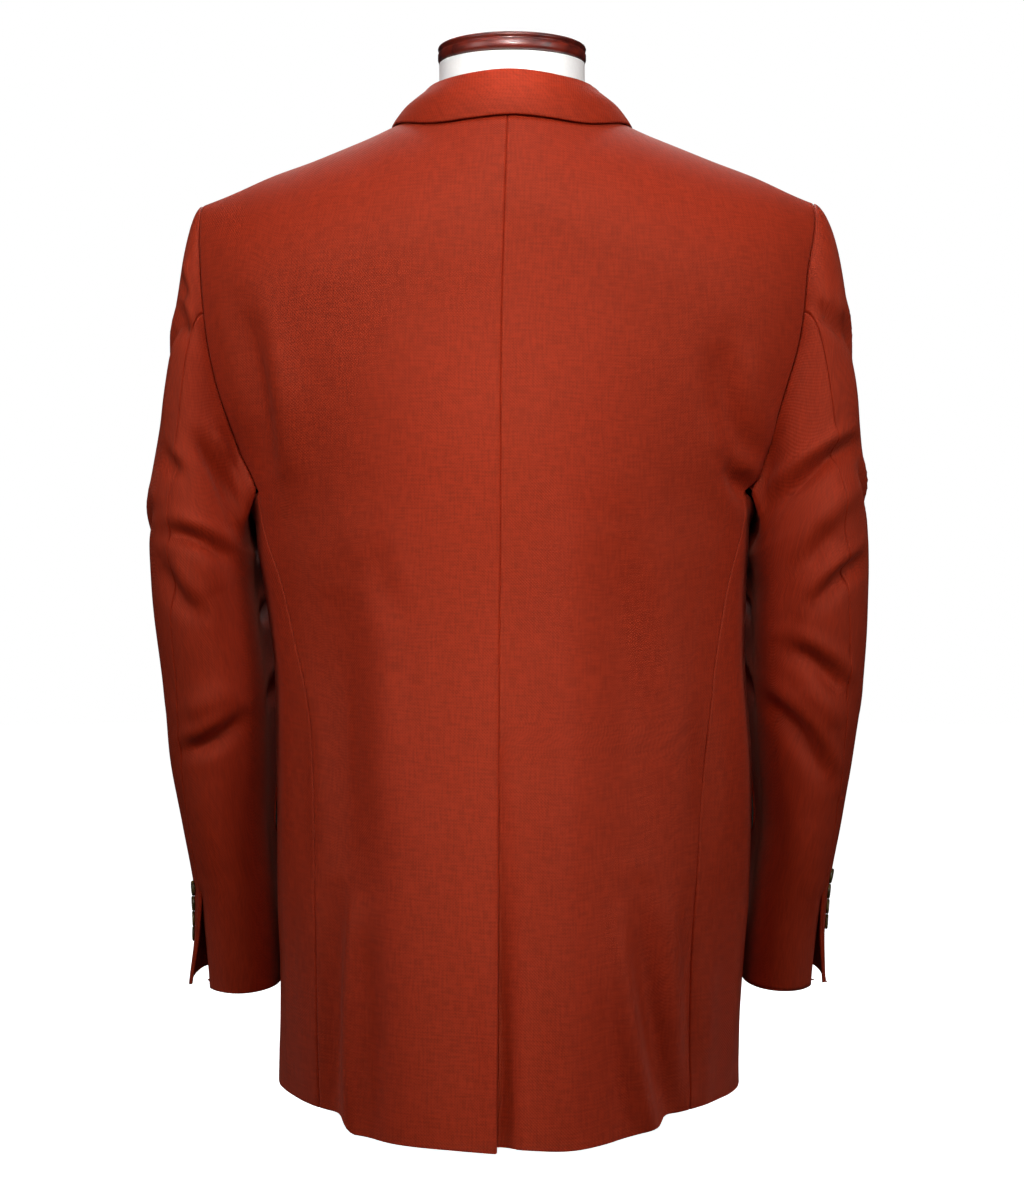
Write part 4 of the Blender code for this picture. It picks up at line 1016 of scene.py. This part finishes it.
def makeLapel(side):
    shares = np.linspace(0.0, 1.0, lapel["rows"])[:, None]
    width = curve(lapel, "width", shares)
    low, high = front["rollDrop"] - lapel["below"], lapel["gorge"] + lapel["above"]
    climb = blend(low, high, shares)
    belly = lapel["belly"] * ease(shares, *lapel["bellyFrom"])
    belly = belly * (1.0 - lapel["bellyLost"] * ease(shares, *lapel["bellyTo"]))
    radius = (lapel["layer"] + belly + lapel["inside"]) / 2
    middle = (lapel["layer"] + belly - lapel["inside"]) / 2
    facing = np.linspace(1.0, 0.0, lapel["facingColumns"])[None, :]
    turns = np.linspace(-90, 90, lapel["bendColumns"])[None, 1:-1]
    across = np.linspace(0.0, 1.0, lapel["faceColumns"])[None, :]
    faceOut = lapel["facing"] * np.minimum(1.0, width / lapel["fullAt"]) * facing
    bendOut = -radius * np.cos(np.radians(turns))
    reach = lapel["bend"] + width * across
    outs = np.concatenate((faceOut, bendOut, reach), axis=1) + rollOut(climb)
    soft = np.exp(-reach / lapel["soft"])
    lifts = np.concatenate((
        -lapel["inside"] * np.ones_like(faceOut),
        middle + radius * np.sin(np.radians(turns)),
        lapel["layer"] + belly * soft), axis=1)
    rising = shares**2 * lapel["gorgeRise"] * across
    zero = np.zeros((len(shares), faceOut.shape[1] + bendOut.shape[1]))
    climbs = climb - np.concatenate((zero, rising), axis=1)
    base = upperPoint(side, -1, side * outs, climbs)
    normals = surfaceNormal(side, -1, outs, climbs)
    lifts = lifts + frontLift(side, base)
    grid = base + normals * lifts[..., None]
    centre = (side * lapel["centre"][0], lapel["centre"][1], 0.0)
    clothPiece("lapel_" + sideName(side), grid, centre, [], [], allWool,
               {"front": bodyFolds["front"]}, wall=lapel["wall"])


def smoothLine(points, count):
    # a smooth line through rows of points, for each column
    table = {"key": np.linspace(0.0, 1.0, len(points))}
    at = np.linspace(0.0, 1.0, count)
    lines = np.empty((count,) + points.shape[1:])
    for k in range(points.shape[1]):
        for axis in range(3):
            table["value"] = points[:, k, axis]
            lines[:, k, axis] = curve(table, "value", at)
    return lines


def collarLine(place):
    # nine points across the collar at one place, from the stand's foot to the fall's edge
    side = 1 if place >= 0 else -1
    value = {key: float(curve(bothHalves, key, place)) for key in bothHalves}
    radius = collar["foldRadius"]

    def above(x, y, up):
        return np.array((x, y, heightOver(side, abs(x), y) + up))

    foot = above(value["baseX"], value["baseY"], collar["footUp"])
    fold = above(value["foldX"], value["foldY"], value["rise"])
    edge = above(value["edgeX"], value["edgeY"], value["lift"])
    out = edge - foot
    out[2] = 0.0
    out /= np.linalg.norm(out)
    up = np.array((0.0, 0.0, 1.0))
    inner, outer = fold - out * radius, fold + out * radius
    hidden = foot - out * collar["footIn"] - up * collar["footDown"]
    fall = [blend(outer, edge, share) + up * rise + out * away
            for share, rise, away in collar["bulge"]]
    return np.stack((hidden, foot, (foot + inner) / 2, inner - up * radius, fold,
                     outer - up * radius, *fall, edge))


def mirrored(table):
    # the collar's columns from end to end, so that they are smooth across the centre
    whole = {}
    for key in ("station", "baseX", "baseY", "foldX", "foldY", "rise", "edgeX", "edgeY", "lift"):
        sign = -1 if key == "station" or key.endswith("X") else 1
        whole[key] = tuple(sign * v for v in reversed(table[key][1:])) + table[key]
    return whole


bothHalves = mirrored(collar)


def makeCollar():
    last, turn = collar["station"][-1], collar["turns"]     # finer where it turns round
    right, middle, left = collar["places"]
    places = np.concatenate((np.linspace(-last, -turn, right),
                             np.linspace(-turn, turn, middle)[1:-1],
                             np.linspace(turn, last, left)))
    lines = np.stack([collarLine(place) for place in places], axis=1)
    clothPiece("collar", smoothLine(lines, collar["rows"]), (0, 0, 0), [], [],
               allWool, {}, wall=collar["wall"])


# sleeves

sleeveBoth = {
    "tilt": (0.026, 0.014, 0.005, 0.000, 0.000, 0.000, 0.000, 0.000, 0.000),
    "ahead": (0.004, 0.005, 0.004, 0.000, -0.006, -0.012, -0.017, -0.020, -0.022),
    "halfDepth": (0.0700, 0.0680, 0.0650, 0.0620, 0.0585, 0.0545, 0.0505, 0.0480, 0.0460),
    "seamTurn": (64.0, 62.0, 58.0, 54.0, 50.0, 46.0, 42.0, 33.0, 22.0),
}

sleeveLeft = {
    "height": (0.478, 0.440, 0.395, 0.345, 0.290, 0.240, 0.190, 0.150, 0.110), **sleeveBoth,
    "across": (0.2440, 0.2434, 0.2394, 0.2343, 0.2316, 0.2275, 0.2212, 0.2168, 0.2140),
    "halfWidth": (0.0405, 0.0400, 0.0403, 0.0393, 0.0372, 0.0330, 0.0312, 0.0299, 0.0285),
    "turnIn": (0.0350, 0.0350, 0.0360, 0.0347, 0.0341, 0.0332, 0.0223, 0.0167, 0.0145),
    "flare": 0.0145, "capOut": 0.0050, "capLean": 0.22,
}

sleeveRight = {
    "height": (0.478, 0.440, 0.395, 0.345, 0.290, 0.240, 0.190, 0.150, 0.112), **sleeveBoth,
    "across": (0.2325, 0.2355, 0.2347, 0.2338, 0.2320, 0.2291, 0.2218, 0.2162, 0.2125),
    "halfWidth": (0.0445, 0.0440, 0.0437, 0.0413, 0.0360, 0.0306, 0.0289, 0.0283, 0.0275),
    "turnIn": (0.0330, 0.0349, 0.0349, 0.0343, 0.0332, 0.0327, 0.0223, 0.0170, 0.0150),
    "flare": 0.0100, "capOut": 0.0090, "capLean": 0.10,
}

cuffVent = {
    "height": (0.110, 0.150, 0.190), "open": (0.98, 0.40, 0.00),
    "flareFrom": -55.0,     # turn from which the top half stands out towards the vent
    "rise": 0.008,          # the hem rises from the tip of the vent
    "riseTo": -22.0, "riseLost": (20.0, 110.0),
    "slant": 0.008,         # and is higher at the front of the sleeve
    "fade": 0.080,
    "lapped": (-0.004, 0.010), "sunk": (-4.0, 16.0),    # the under half below the vent's top
}

sleeve = {
    "seam": 0.0003, "frontSeam": 236.0, "capBackSeam": 79.0, "backShare": 0.41,
    "frontShare": 0.415, "vent": 0.185, "clear": (0.0004, 0.0003, 0.0003),
    "turnUp": 0.060, "underlapTurn": 9.0, "underlapSink": 0.0026,
    "step": 0.0036, "hemNear": 0.0008, "radius": 0.045, "centre": 0.232,
    "capFrontTurn": 4.0, "capFlat": (0.002, 0.020),     # no folds this near to the cap's seam
    "sewn": 0.012, "ventEdge": 0.0006,
}

# how the cap leaves the armhole and arrives at the sleeve: where there are two numbers,
# the second one's part grows from the underarm to the shoulder
cap = {
    "leaveOut": (0.65, 0.25), "leaveBack": 0.55, "leaveUp": (-0.62, 0.275),
    "arriveBack": -0.10, "stand": 0.006, "pull": (0.008, 0.092), "pullPower": 1.3,
}


def armholeLoop(side, share, underarm):
    share = np.mod(share, 1.0)
    back, ahead = sleeve["backShare"], sleeve["frontShare"]
    onBack = armholePoint(side, 1, np.clip(share / back, 0.0, 1.0))
    onFront = armholePoint(side, -1, np.clip((1.0 - share) / ahead, 0.0, 1.0))
    place = np.clip((share - back) / (1.0 - back - ahead), 0.0, 1.0)
    shares, points = underarm
    below = np.stack([np.interp(place, shares, points[:, k]) for k in range(3)], axis=-1)
    loop = np.where((share <= back)[..., None], onBack, below)
    return np.where((share >= 1.0 - ahead)[..., None], onFront, loop)


def sleevePoint(side, table, turn, height):
    angle = np.radians(turn)
    width, deep = curve(table, "halfWidth", height), curve(table, "halfDepth", height)
    inFront = np.maximum(-np.sin(angle), 0.0)
    across = (curve(table, "across", height) + width * np.cos(angle)
              - curve(table, "turnIn", height) * inFront**2)
    ahead = curve(table, "ahead", height) + deep * np.sin(angle)
    level = height + curve(table, "tilt", height) * np.cos(angle)
    return np.stack((side * across, ahead, level), axis=-1)


def capPoint(side, table, share, down, underarm):
    turn = 2 * math.pi * share
    up, back = np.cos(turn), np.sin(turn)
    always, sides, low = sleeve["clear"]
    clear = always + sides * np.abs(back) + low * (1.0 - up)
    start = armholeLoop(side, share, underarm)
    start[..., 0] += side * clear
    end = sleevePoint(side, table, np.degrees(turn), table["height"][0] + 0 * turn)
    leave = np.stack((side * (cap["leaveOut"][0] + cap["leaveOut"][1] * up),
                      cap["leaveBack"] * back,
                      cap["leaveUp"][0] + cap["leaveUp"][1] * up), axis=-1)
    leave /= np.linalg.norm(leave, axis=-1, keepdims=True)
    arrive = np.stack((-side * table["capLean"] * up, cap["arriveBack"] * back,
                       np.ones_like(up)), axis=-1)
    stand = cap["stand"] * (1.0 + np.abs(back)) + table["capOut"] * (1.0 + up)
    pull = cap["pull"][0] + cap["pull"][1] * ((1.0 + up) / 2) ** cap["pullPower"]
    second = start + leave * stand[..., None]
    third = end + arrive * pull[..., None]
    t = down[..., None]
    return (start * (1 - t)**3 + second * 3 * t * (1 - t)**2
            + third * 3 * t**2 * (1 - t) + end * t**3)


def sleeveGrid(side, table, underarm, shares, isTop):
    step, lowest = sleeve["step"], table["height"][-1]
    downs = edgeShares(spans["cap"], step, rolledEnd=False)[:-1]
    heights = np.arange(table["height"][0], lowest - 0.001, -step)
    heights = np.concatenate((heights, (lowest - sleeve["hemNear"], lowest)))
    gap = math.degrees(sleeve["seam"] / 2 / sleeve["radius"])
    rows = []
    for down in downs:
        seam = blend(sleeve["capBackSeam"], table["seamTurn"][0], down)
        ahead = sleeve["frontSeam"] - sleeve["capFrontTurn"] * (1.0 - down)
        if isTop:
            turns = blend(ahead - 360.0 + gap, seam - gap, shares)
        else:
            turns = blend(seam + gap, ahead - gap, shares)
        rows.append(capPoint(side, table, turns / 360.0, down + 0 * shares, underarm))
    for height in heights:
        seam = float(curve(table, "seamTurn", height))
        opened = float(np.interp(height, cuffVent["height"], cuffVent["open"]))
        level = height + 0 * shares
        if isTop:
            turns = blend(sleeve["frontSeam"] - 360.0 + gap, seam - gap, shares)
            row = sleevePoint(side, table, turns, level)
            flare = table["flare"] * ease(turns, cuffVent["flareFrom"], seam)
            row[:, 0] += side * opened * flare
            rise = cuffVent["rise"] * (1.0 - ease(-turns, *cuffVent["riseLost"]))
            row[:, 2] += rise * opened**2 * (1.0 - ease(turns, cuffVent["riseTo"], seam))
        else:
            start, end = (sleeve["vent"] + place for place in cuffVent["lapped"])
            lapped = float(1.0 - ease(height, start, end))
            first = seam + gap - sleeve["underlapTurn"] * lapped
            turns = blend(first, sleeve["frontSeam"] - gap, shares)
            row = sleevePoint(side, table, turns, level)
            start, end = (seam + place for place in cuffVent["sunk"])
            sunk = lapped * (1.0 - ease(turns, start, end))
            inward = np.stack((-side * np.cos(np.radians(turns)),
                               -np.sin(np.radians(turns)), 0 * turns), axis=-1)
            row = row + inward * (sunk * sleeve["underlapSink"])[:, None]
        nearHem = 1.0 - ease(height, lowest, lowest + cuffVent["fade"])
        row[:, 2] += cuffVent["slant"] * nearHem * (1.0 - np.sin(np.radians(turns))) / 2
        rows.append(row)
    return np.stack(rows)


def makeSleeve(side, underarm):
    table = sleeveLeft if side > 0 else sleeveRight
    centre = (side * sleeve["centre"], 0.0, 0.0)
    lined = liningAbove(table["height"][-1] + sleeve["turnUp"])
    for isTop in (True, False):
        half = "sleeveTop" if isTop else "sleeveUnder"
        shares = edgeShares(spans[half], sleeve["step"])
        grid = sleeveGrid(side, table, underarm, shares, isTop)
        normals = gridNormals(grid, centre)
        inSeam = pressFolds(grid, normals, sleeveFolds) + handling(grid)
        lift = inSeam * (ease(arcFrom(grid, 0), *sleeve["capFlat"]) - 1.0)
        sewn = ease(grid[:, 0, 2], sleeve["vent"], sleeve["vent"] + sleeve["sewn"])
        clothPiece(("sleeve_top_" if isTop else "sleeve_under_") + sideName(side), grid,
                   centre, ["left", "right", "low"],
                   ["low"] if isTop else ["left", "right", "low"], lined, sleeveFolds,
                   lift=lift, underlap=blend(sleeve["ventEdge"], cloth["allowance"], sewn))


# pocket flaps

flap = {
    "firstTurn": 97.0, "lastTurn": 139.0, "top": 0.2815, "height": 0.050, "slant": 0.006,
    "layer": 0.0028, "swell": 0.0006,
    "proud": 0.0042, "proudFrom": (-0.11, -0.02),   # the lower edge stands off at the side
    "corner": 0.014, "cornerFrom": 0.84,    # the corners are rounded from this share out
    "rows": 18, "fine": 0.12, "fineColumns": 10, "columns": 24, "wall": 0.0014,
}


def makeFlap(side):
    down = np.linspace(0.0, 1.0, flap["rows"])[:, None]
    fine = np.linspace(0, flap["fine"], flap["fineColumns"])[:-1]
    middle = np.linspace(flap["fine"], 1 - flap["fine"], flap["columns"])
    along = np.concatenate((fine, middle, 1 - fine[::-1]))[None, :]
    turns = blend(flap["firstTurn"], flap["lastTurn"], along) + 0 * down
    top = flap["top"] - flap["slant"] * along
    past = (np.abs(2 * along - 1) - flap["cornerFrom"]) / (1 - flap["cornerFrom"])
    rounding = flap["corner"] * (1 - np.sqrt(1 - np.clip(past, 0.0, 0.999)**2))
    heights = top - down * (flap["height"] - rounding)
    grid = ringPoint(side, turns, heights)
    hang = (flap["top"] - grid[..., 2]) / flap["height"]
    proud = flap["proud"] * hang * ease(grid[..., 1], *flap["proudFrom"])
    lift = flap["layer"] + proud + flap["swell"] * np.sin(math.pi * hang)
    clothPiece("flap_" + sideName(side), grid, (0, 0, 0), [], [], allLining, {},
               lift=lift, wall=flap["wall"])


# buttons

button = {
    "profile": ((0.00, 0.62), (0.42, 0.62), (0.60, 0.68), (0.70, 0.92), (0.80, 1.00),
                (0.90, 0.97), (0.97, 0.80), (1.00, 0.52), (0.97, 0.22), (0.88, 0.04),
                (0.60, 0.00), (0.00, 0.00)),
    "segments": 48,
    "face": 0.62,           # the threads lie this high, as a share of the thickness
    "holeRing": 0.20, "threadRadius": 0.08, "threadSag": 0.07, "sunk": 0.13,    # of the radius
    "threadSteps": 8, "threadSides": 8,
    "front": 0.0200, "cuff": 0.0120,        # across
}


def solidMesh(name, points, faces, flatFaces=0):
    mesh = bpy.data.meshes.new(name)
    mesh.from_pydata([tuple(point) for point in points], [], faces)
    smooth = [True] * (len(faces) - flatFaces) + [False] * flatFaces
    mesh.polygons.foreach_set("use_smooth", smooth)
    mesh.update()
    return mesh


def latheMesh(name, profile, segments):
    # a turned solid from its outline, (out, up) from the middle of the top
    points, faces, rings = [], [], []
    turns = [2 * math.pi * k / segments for k in range(segments)]
    for out, up in profile:
        ring = turns if out > 0.0 else [0.0]
        rings.append(range(len(points), len(points) + len(ring)))
        points.extend((out * math.cos(t), out * math.sin(t), up) for t in ring)
    for a, b in zip(rings, rings[1:]):
        for k in range(segments):
            n = (k + 1) % segments
            if len(a) == 1:
                faces.append((a[0], b[k], b[n]))
            elif len(b) == 1:
                faces.append((a[n], a[k], b[0]))
            else:
                faces.append((a[k], b[k], b[n], a[n]))
    return solidMesh(name, points, faces)


def tubeFaces(count, segments):
    # between rings of points, one above the other, with a face on each end
    faces = []
    for low in range(0, (count - 1) * segments, segments):
        for k in range(segments):
            n = (k + 1) % segments
            faces.append((low + k, low + n, low + segments + n, low + segments + k))
    top = (count - 1) * segments
    faces.append(tuple(range(segments - 1, -1, -1)))
    faces.append(tuple(range(top, top + segments)))
    return faces


def barMesh(name, start, end, radius, sag):
    # a short bent thread between two holes
    start, end, up = Vector(start), Vector(end), Vector((0, 0, 1))
    across = (end - start).normalized().cross(up)
    steps, sides = button["threadSteps"], button["threadSides"]
    points = []
    for i in range(steps + 1):
        place = start.lerp(end, i / steps) + up * sag * (math.sin(math.pi * i / steps) - 0.4)
        for k in range(sides):
            turn = 2 * math.pi * k / sides
            points.append(place + radius * (across * math.cos(turn) + up * math.sin(turn)))
    return solidMesh(name, points, tubeFaces(steps + 1, sides))


def nodeFrame(node):
    # middle of a round node and the direction in which it faces
    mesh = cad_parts[node].data
    points = np.empty(len(mesh.vertices) * 3)
    mesh.vertices.foreach_get("co", points)
    points = points.reshape(-1, 3)
    middle = points.mean(axis=0)
    spread = np.linalg.eigh(np.cov((points - middle).T))
    facing = Vector(spread[1][:, 0])
    if facing.dot(Vector((middle[0], middle[1], 0.0))) < 0:
        facing.negate()
    reach = (points - middle) @ np.array(facing)
    return Vector(middle), facing, reach.max() - reach.min(), -reach.min()


def makeButton(node, diameter):
    middle, facing, thick, below = nodeFrame(node)
    radius = diameter / 2
    profile = [(out * radius, up * thick) for out, up in reversed(button["profile"])]
    turn = Vector((0, 0, 1)).rotation_difference(facing).to_matrix().to_4x4()
    sunk = below + button["sunk"] * radius
    place = Matrix.Translation(middle - facing * sunk) @ turn
    name = joined(node)
    disc = latheMesh(name, profile, button["segments"])
    disc.transform(place)
    addPiece("horn" + name, disc, (hornMaterial,), node)
    face = button["face"] * thick
    ring = button["holeRing"] * radius
    for number, way in enumerate((1, -1), start=1):
        bar = barMesh("thread", (-ring, way * ring, face), (ring, way * ring, face),
                      button["threadRadius"] * radius, button["threadSag"] * radius)
        bar.transform(place)
        addPiece(f"thread{name}n{number}", bar, (threadMaterial,), None)


# dress form

torso = {
    "height": (0.0063, 0.0400, 0.0900, 0.1500, 0.2300, 0.3200, 0.3900, 0.4400, 0.5000,
               0.5500, 0.6100, 0.6600, 0.7000, 0.7200, 0.7400, 0.7560, 0.7720),
    "half": (0.112, 0.146, 0.160, 0.165, 0.166, 0.164, 0.164, 0.168, 0.176, 0.188, 0.200,
             0.208, 0.210, 0.205, 0.186, 0.148, 0.102),
    "back": (0.060, 0.092, 0.110, 0.113, 0.108, 0.101, 0.099, 0.100, 0.105, 0.109, 0.111,
             0.111, 0.108, 0.104, 0.094, 0.090, 0.084),
    "front": (0.060, 0.088, 0.104, 0.110, 0.112, 0.112, 0.116, 0.121, 0.126, 0.126, 0.121,
              0.114, 0.107, 0.101, 0.091, 0.086, 0.080),
    "segments": 96, "rings": 110,
}

formNeck = {"low": 0.7712, "top": 0.8387, "half": 0.0575, "deep": 0.0541,
            "flareHalf": 0.0440, "flareDeep": 0.0252, "flarePower": 7, "rings": 40}

formCap = {
    "low": 0.8390, "radius": 0.0585,
    "profile": ((0.00, 0.0000), (0.90, 0.0000), (0.965, 0.0004), (0.990, 0.0014),
                (1.000, 0.0030), (1.000, 0.0066), (0.994, 0.0076), (0.978, 0.0082),
                (0.974, 0.0090), (0.978, 0.0098), (0.996, 0.0104), (1.000, 0.0114),
                (0.992, 0.0126), (0.970, 0.0136), (0.930, 0.0142), (0.60, 0.0145),
                (0.00, 0.0145)),
}

formBase = {
    "half": 0.098, "deep": 0.046, "thick": 0.006, "chamfer": 0.0012,
    "share": (0.00, 0.06, 0.20, 0.80, 0.94, 1.00),      # of the thickness
    "inset": (1.00, 0.55, 0.00, 0.00, 0.55, 1.00),      # of the chamfer
}


def formPiece(name, rings, material, node):
    # closed solid through ovals: each is (height, half width, depth back, depth front)
    points = []
    segments = torso["segments"]
    for height, half, back, ahead in rings:
        for k in range(segments):
            turn = 2 * math.pi * k / segments
            deep = back if math.sin(turn) >= 0 else ahead
            points.append((half * math.cos(turn), deep * math.sin(turn), height))
    mesh = solidMesh(node, points, tubeFaces(len(rings), segments), flatFaces=2)
    addPiece(name, mesh, (material,), node)


def makeForm():
    heights = np.linspace(torso["height"][0], torso["height"][-1], torso["rings"])
    rings = [(h, *(float(curve(torso, key, h)) for key in ("half", "back", "front")))
             for h in heights]
    formPiece("jerseyTorso", rings, jerseyMaterial, "form_torso")
    rings = []
    for share in np.linspace(0.0, 1.0, formNeck["rings"]):
        flare = (1.0 - share) ** formNeck["flarePower"]
        half = formNeck["half"] + formNeck["flareHalf"] * flare
        deep = formNeck["deep"] + formNeck["flareDeep"] * flare
        rings.append((blend(formNeck["low"], formNeck["top"], share), half, deep, deep))
    formPiece("jerseyNeck", rings, jerseyMaterial, "form_neck")
    profile = [(out * formCap["radius"], formCap["low"] + up)
               for out, up in formCap["profile"]]
    mesh = latheMesh("formCap", profile, torso["segments"])
    addPiece("mahoganyCap", mesh, (mahoganyMaterial,), "form_cap")
    rings = []
    for share, inset in zip(formBase["share"], formBase["inset"]):
        half = formBase["half"] - formBase["chamfer"] * inset
        deep = formBase["deep"] - formBase["chamfer"] * inset
        rings.append((formBase["thick"] * share, half, deep, deep))
    formPiece("mahoganyBase", rings, mahoganyMaterial, "form_base")


# the coat

for side in (1, -1):
    makeBack(side)
    underarm = makeSide(side)
    makeFront(side)
    makeLapel(side)
    makeFlap(side)
    makeSleeve(side, underarm)
    print("cloth of the", sideName(side), "half made")
makeCollar()
for number in (1, 2):
    makeButton(f"button_front_{number}", button["front"])
for side in (1, -1):
    for number in range(1, 5):
        makeButton(f"button_cuff_{sideName(side)}_{number}", button["cuff"])
makeForm()
print("collar, buttons and form made")


# floor, light and camera

studio = {
    "floor": "#FFFFFF", "floorGlow": 1.0, "floorRoughness": 0.95, "floorRadius": 6.0,
    "world": "#FFFFFF", "worldStrength": 0.015,
    "eye": (0.0, 1.896, 0.4214), "lens": 72.8, "sensor": 36.0,
}

softboxes = {
    "name": ("over", "high", "strip", "left", "right", "ahead", "neck", "lowLeft", "lowRight"),
    "place": ((0.0, 0.25, 1.90), (0.0, 1.15, 1.25), (0.012, 1.30, 0.42), (1.3, 1.0, 0.9),
              (-1.3, 1.0, 0.9), (0.0, -1.3, 1.8), (0.0, 0.90, 0.95), (1.1, -0.15, 0.10),
              (-1.1, -0.15, 0.10)),
    "aim": ((0, 0.05, 0.66), (0, 0.05, 0.66), (0.012, 0.05, 0.17), (0.1, 0, 0.45),
            (-0.1, 0, 0.45), (0, 0, 0.4), (0, 0.05, 0.835), (0.16, 0.08, 0.02),
            (-0.16, 0.08, 0.02)),
    "size": ((1.0, 0.5), (0.7, 0.35), (0.08, 0.9), (0.5, 1.1), (0.5, 1.1), (0.9, 1.1),
             (0.06, 0.02), (0.4, 0.2), (0.4, 0.2)),
    "spread": (90.0, 56.0, 13.0, 120.0, 120.0, 120.0, 9.0, 18.0, 18.0),
    "power": (1.6, 1.25, 0.145, 2.9, 3.3, 8.0, 0.020, 0.026, 0.024),
}


def makeFloor():
    mesh = latheMesh("floor", [(studio["floorRadius"], 0.0), (0.0, 0.0)], torso["segments"])
    floor = bpy.data.objects.new("paperFloor", mesh)
    material, tree, shader = newMaterial("seamlessPaperMatt")
    paper = linear(studio["floor"])
    fillNode(tree, shader, {"Base Color": paper, "Roughness": studio["floorRoughness"],
                            "Emission Color": paper,
                            "Emission Strength": studio["floorGlow"]})
    mesh.materials.append(material)
    floor.visible_diffuse = False    # the glowing paper throws no light on the coat
    floor.visible_glossy = False
    bpy.context.scene.collection.objects.link(floor)


def makeLights():
    for k, name in enumerate(softboxes["name"]):
        lamp = bpy.data.lights.new(name, "AREA")
        lamp.shape = "RECTANGLE"
        lamp.size, lamp.size_y = softboxes["size"][k]
        lamp.energy = softboxes["power"][k]
        lamp.spread = math.radians(softboxes["spread"][k])
        thing = bpy.data.objects.new(name, lamp)
        thing.location = softboxes["place"][k]
        way = Vector(softboxes["aim"][k]) - thing.location
        thing.rotation_euler = way.to_track_quat("-Z", "Y").to_euler()
        thing.visible_camera = False
        bpy.context.scene.collection.objects.link(thing)


def makeWorld():
    world = bpy.data.worlds.new("studio")
    world.use_nodes = True
    tree = world.node_tree
    back = tree.nodes["Background"]
    back.inputs[0].default_value = linear(studio["world"])
    back.inputs[1].default_value = studio["worldStrength"]
    seen = addNode(tree, "ShaderNodeBackground", {0: linear(studio["world"]), 1: 1.0})
    ray = addNode(tree, "ShaderNodeLightPath")
    mixed = addNode(tree, "ShaderNodeMixShader", links={
        0: ray.outputs["Is Camera Ray"], 1: back.outputs[0], 2: seen.outputs[0]})
    tree.links.new(mixed.outputs[0], tree.nodes["World Output"].inputs[0])
    bpy.context.scene.world = world


def makeCamera():
    lens = bpy.data.cameras.new("camera")
    lens.sensor_fit = "VERTICAL"
    lens.sensor_height = studio["sensor"]
    lens.lens = studio["lens"]
    eye = bpy.data.objects.new("camera", lens)
    eye.location = studio["eye"]
    eye.rotation_euler = (math.pi / 2, 0.0, math.pi)    # level, looking at the back
    bpy.context.scene.collection.objects.link(eye)
    bpy.context.scene.camera = eye


makeFloor()
makeLights()
makeWorld()
makeCamera()
bpy.context.scene.view_settings.view_transform = "Standard"
print("stage, light and camera made")

bpy.context.view_layer.update()
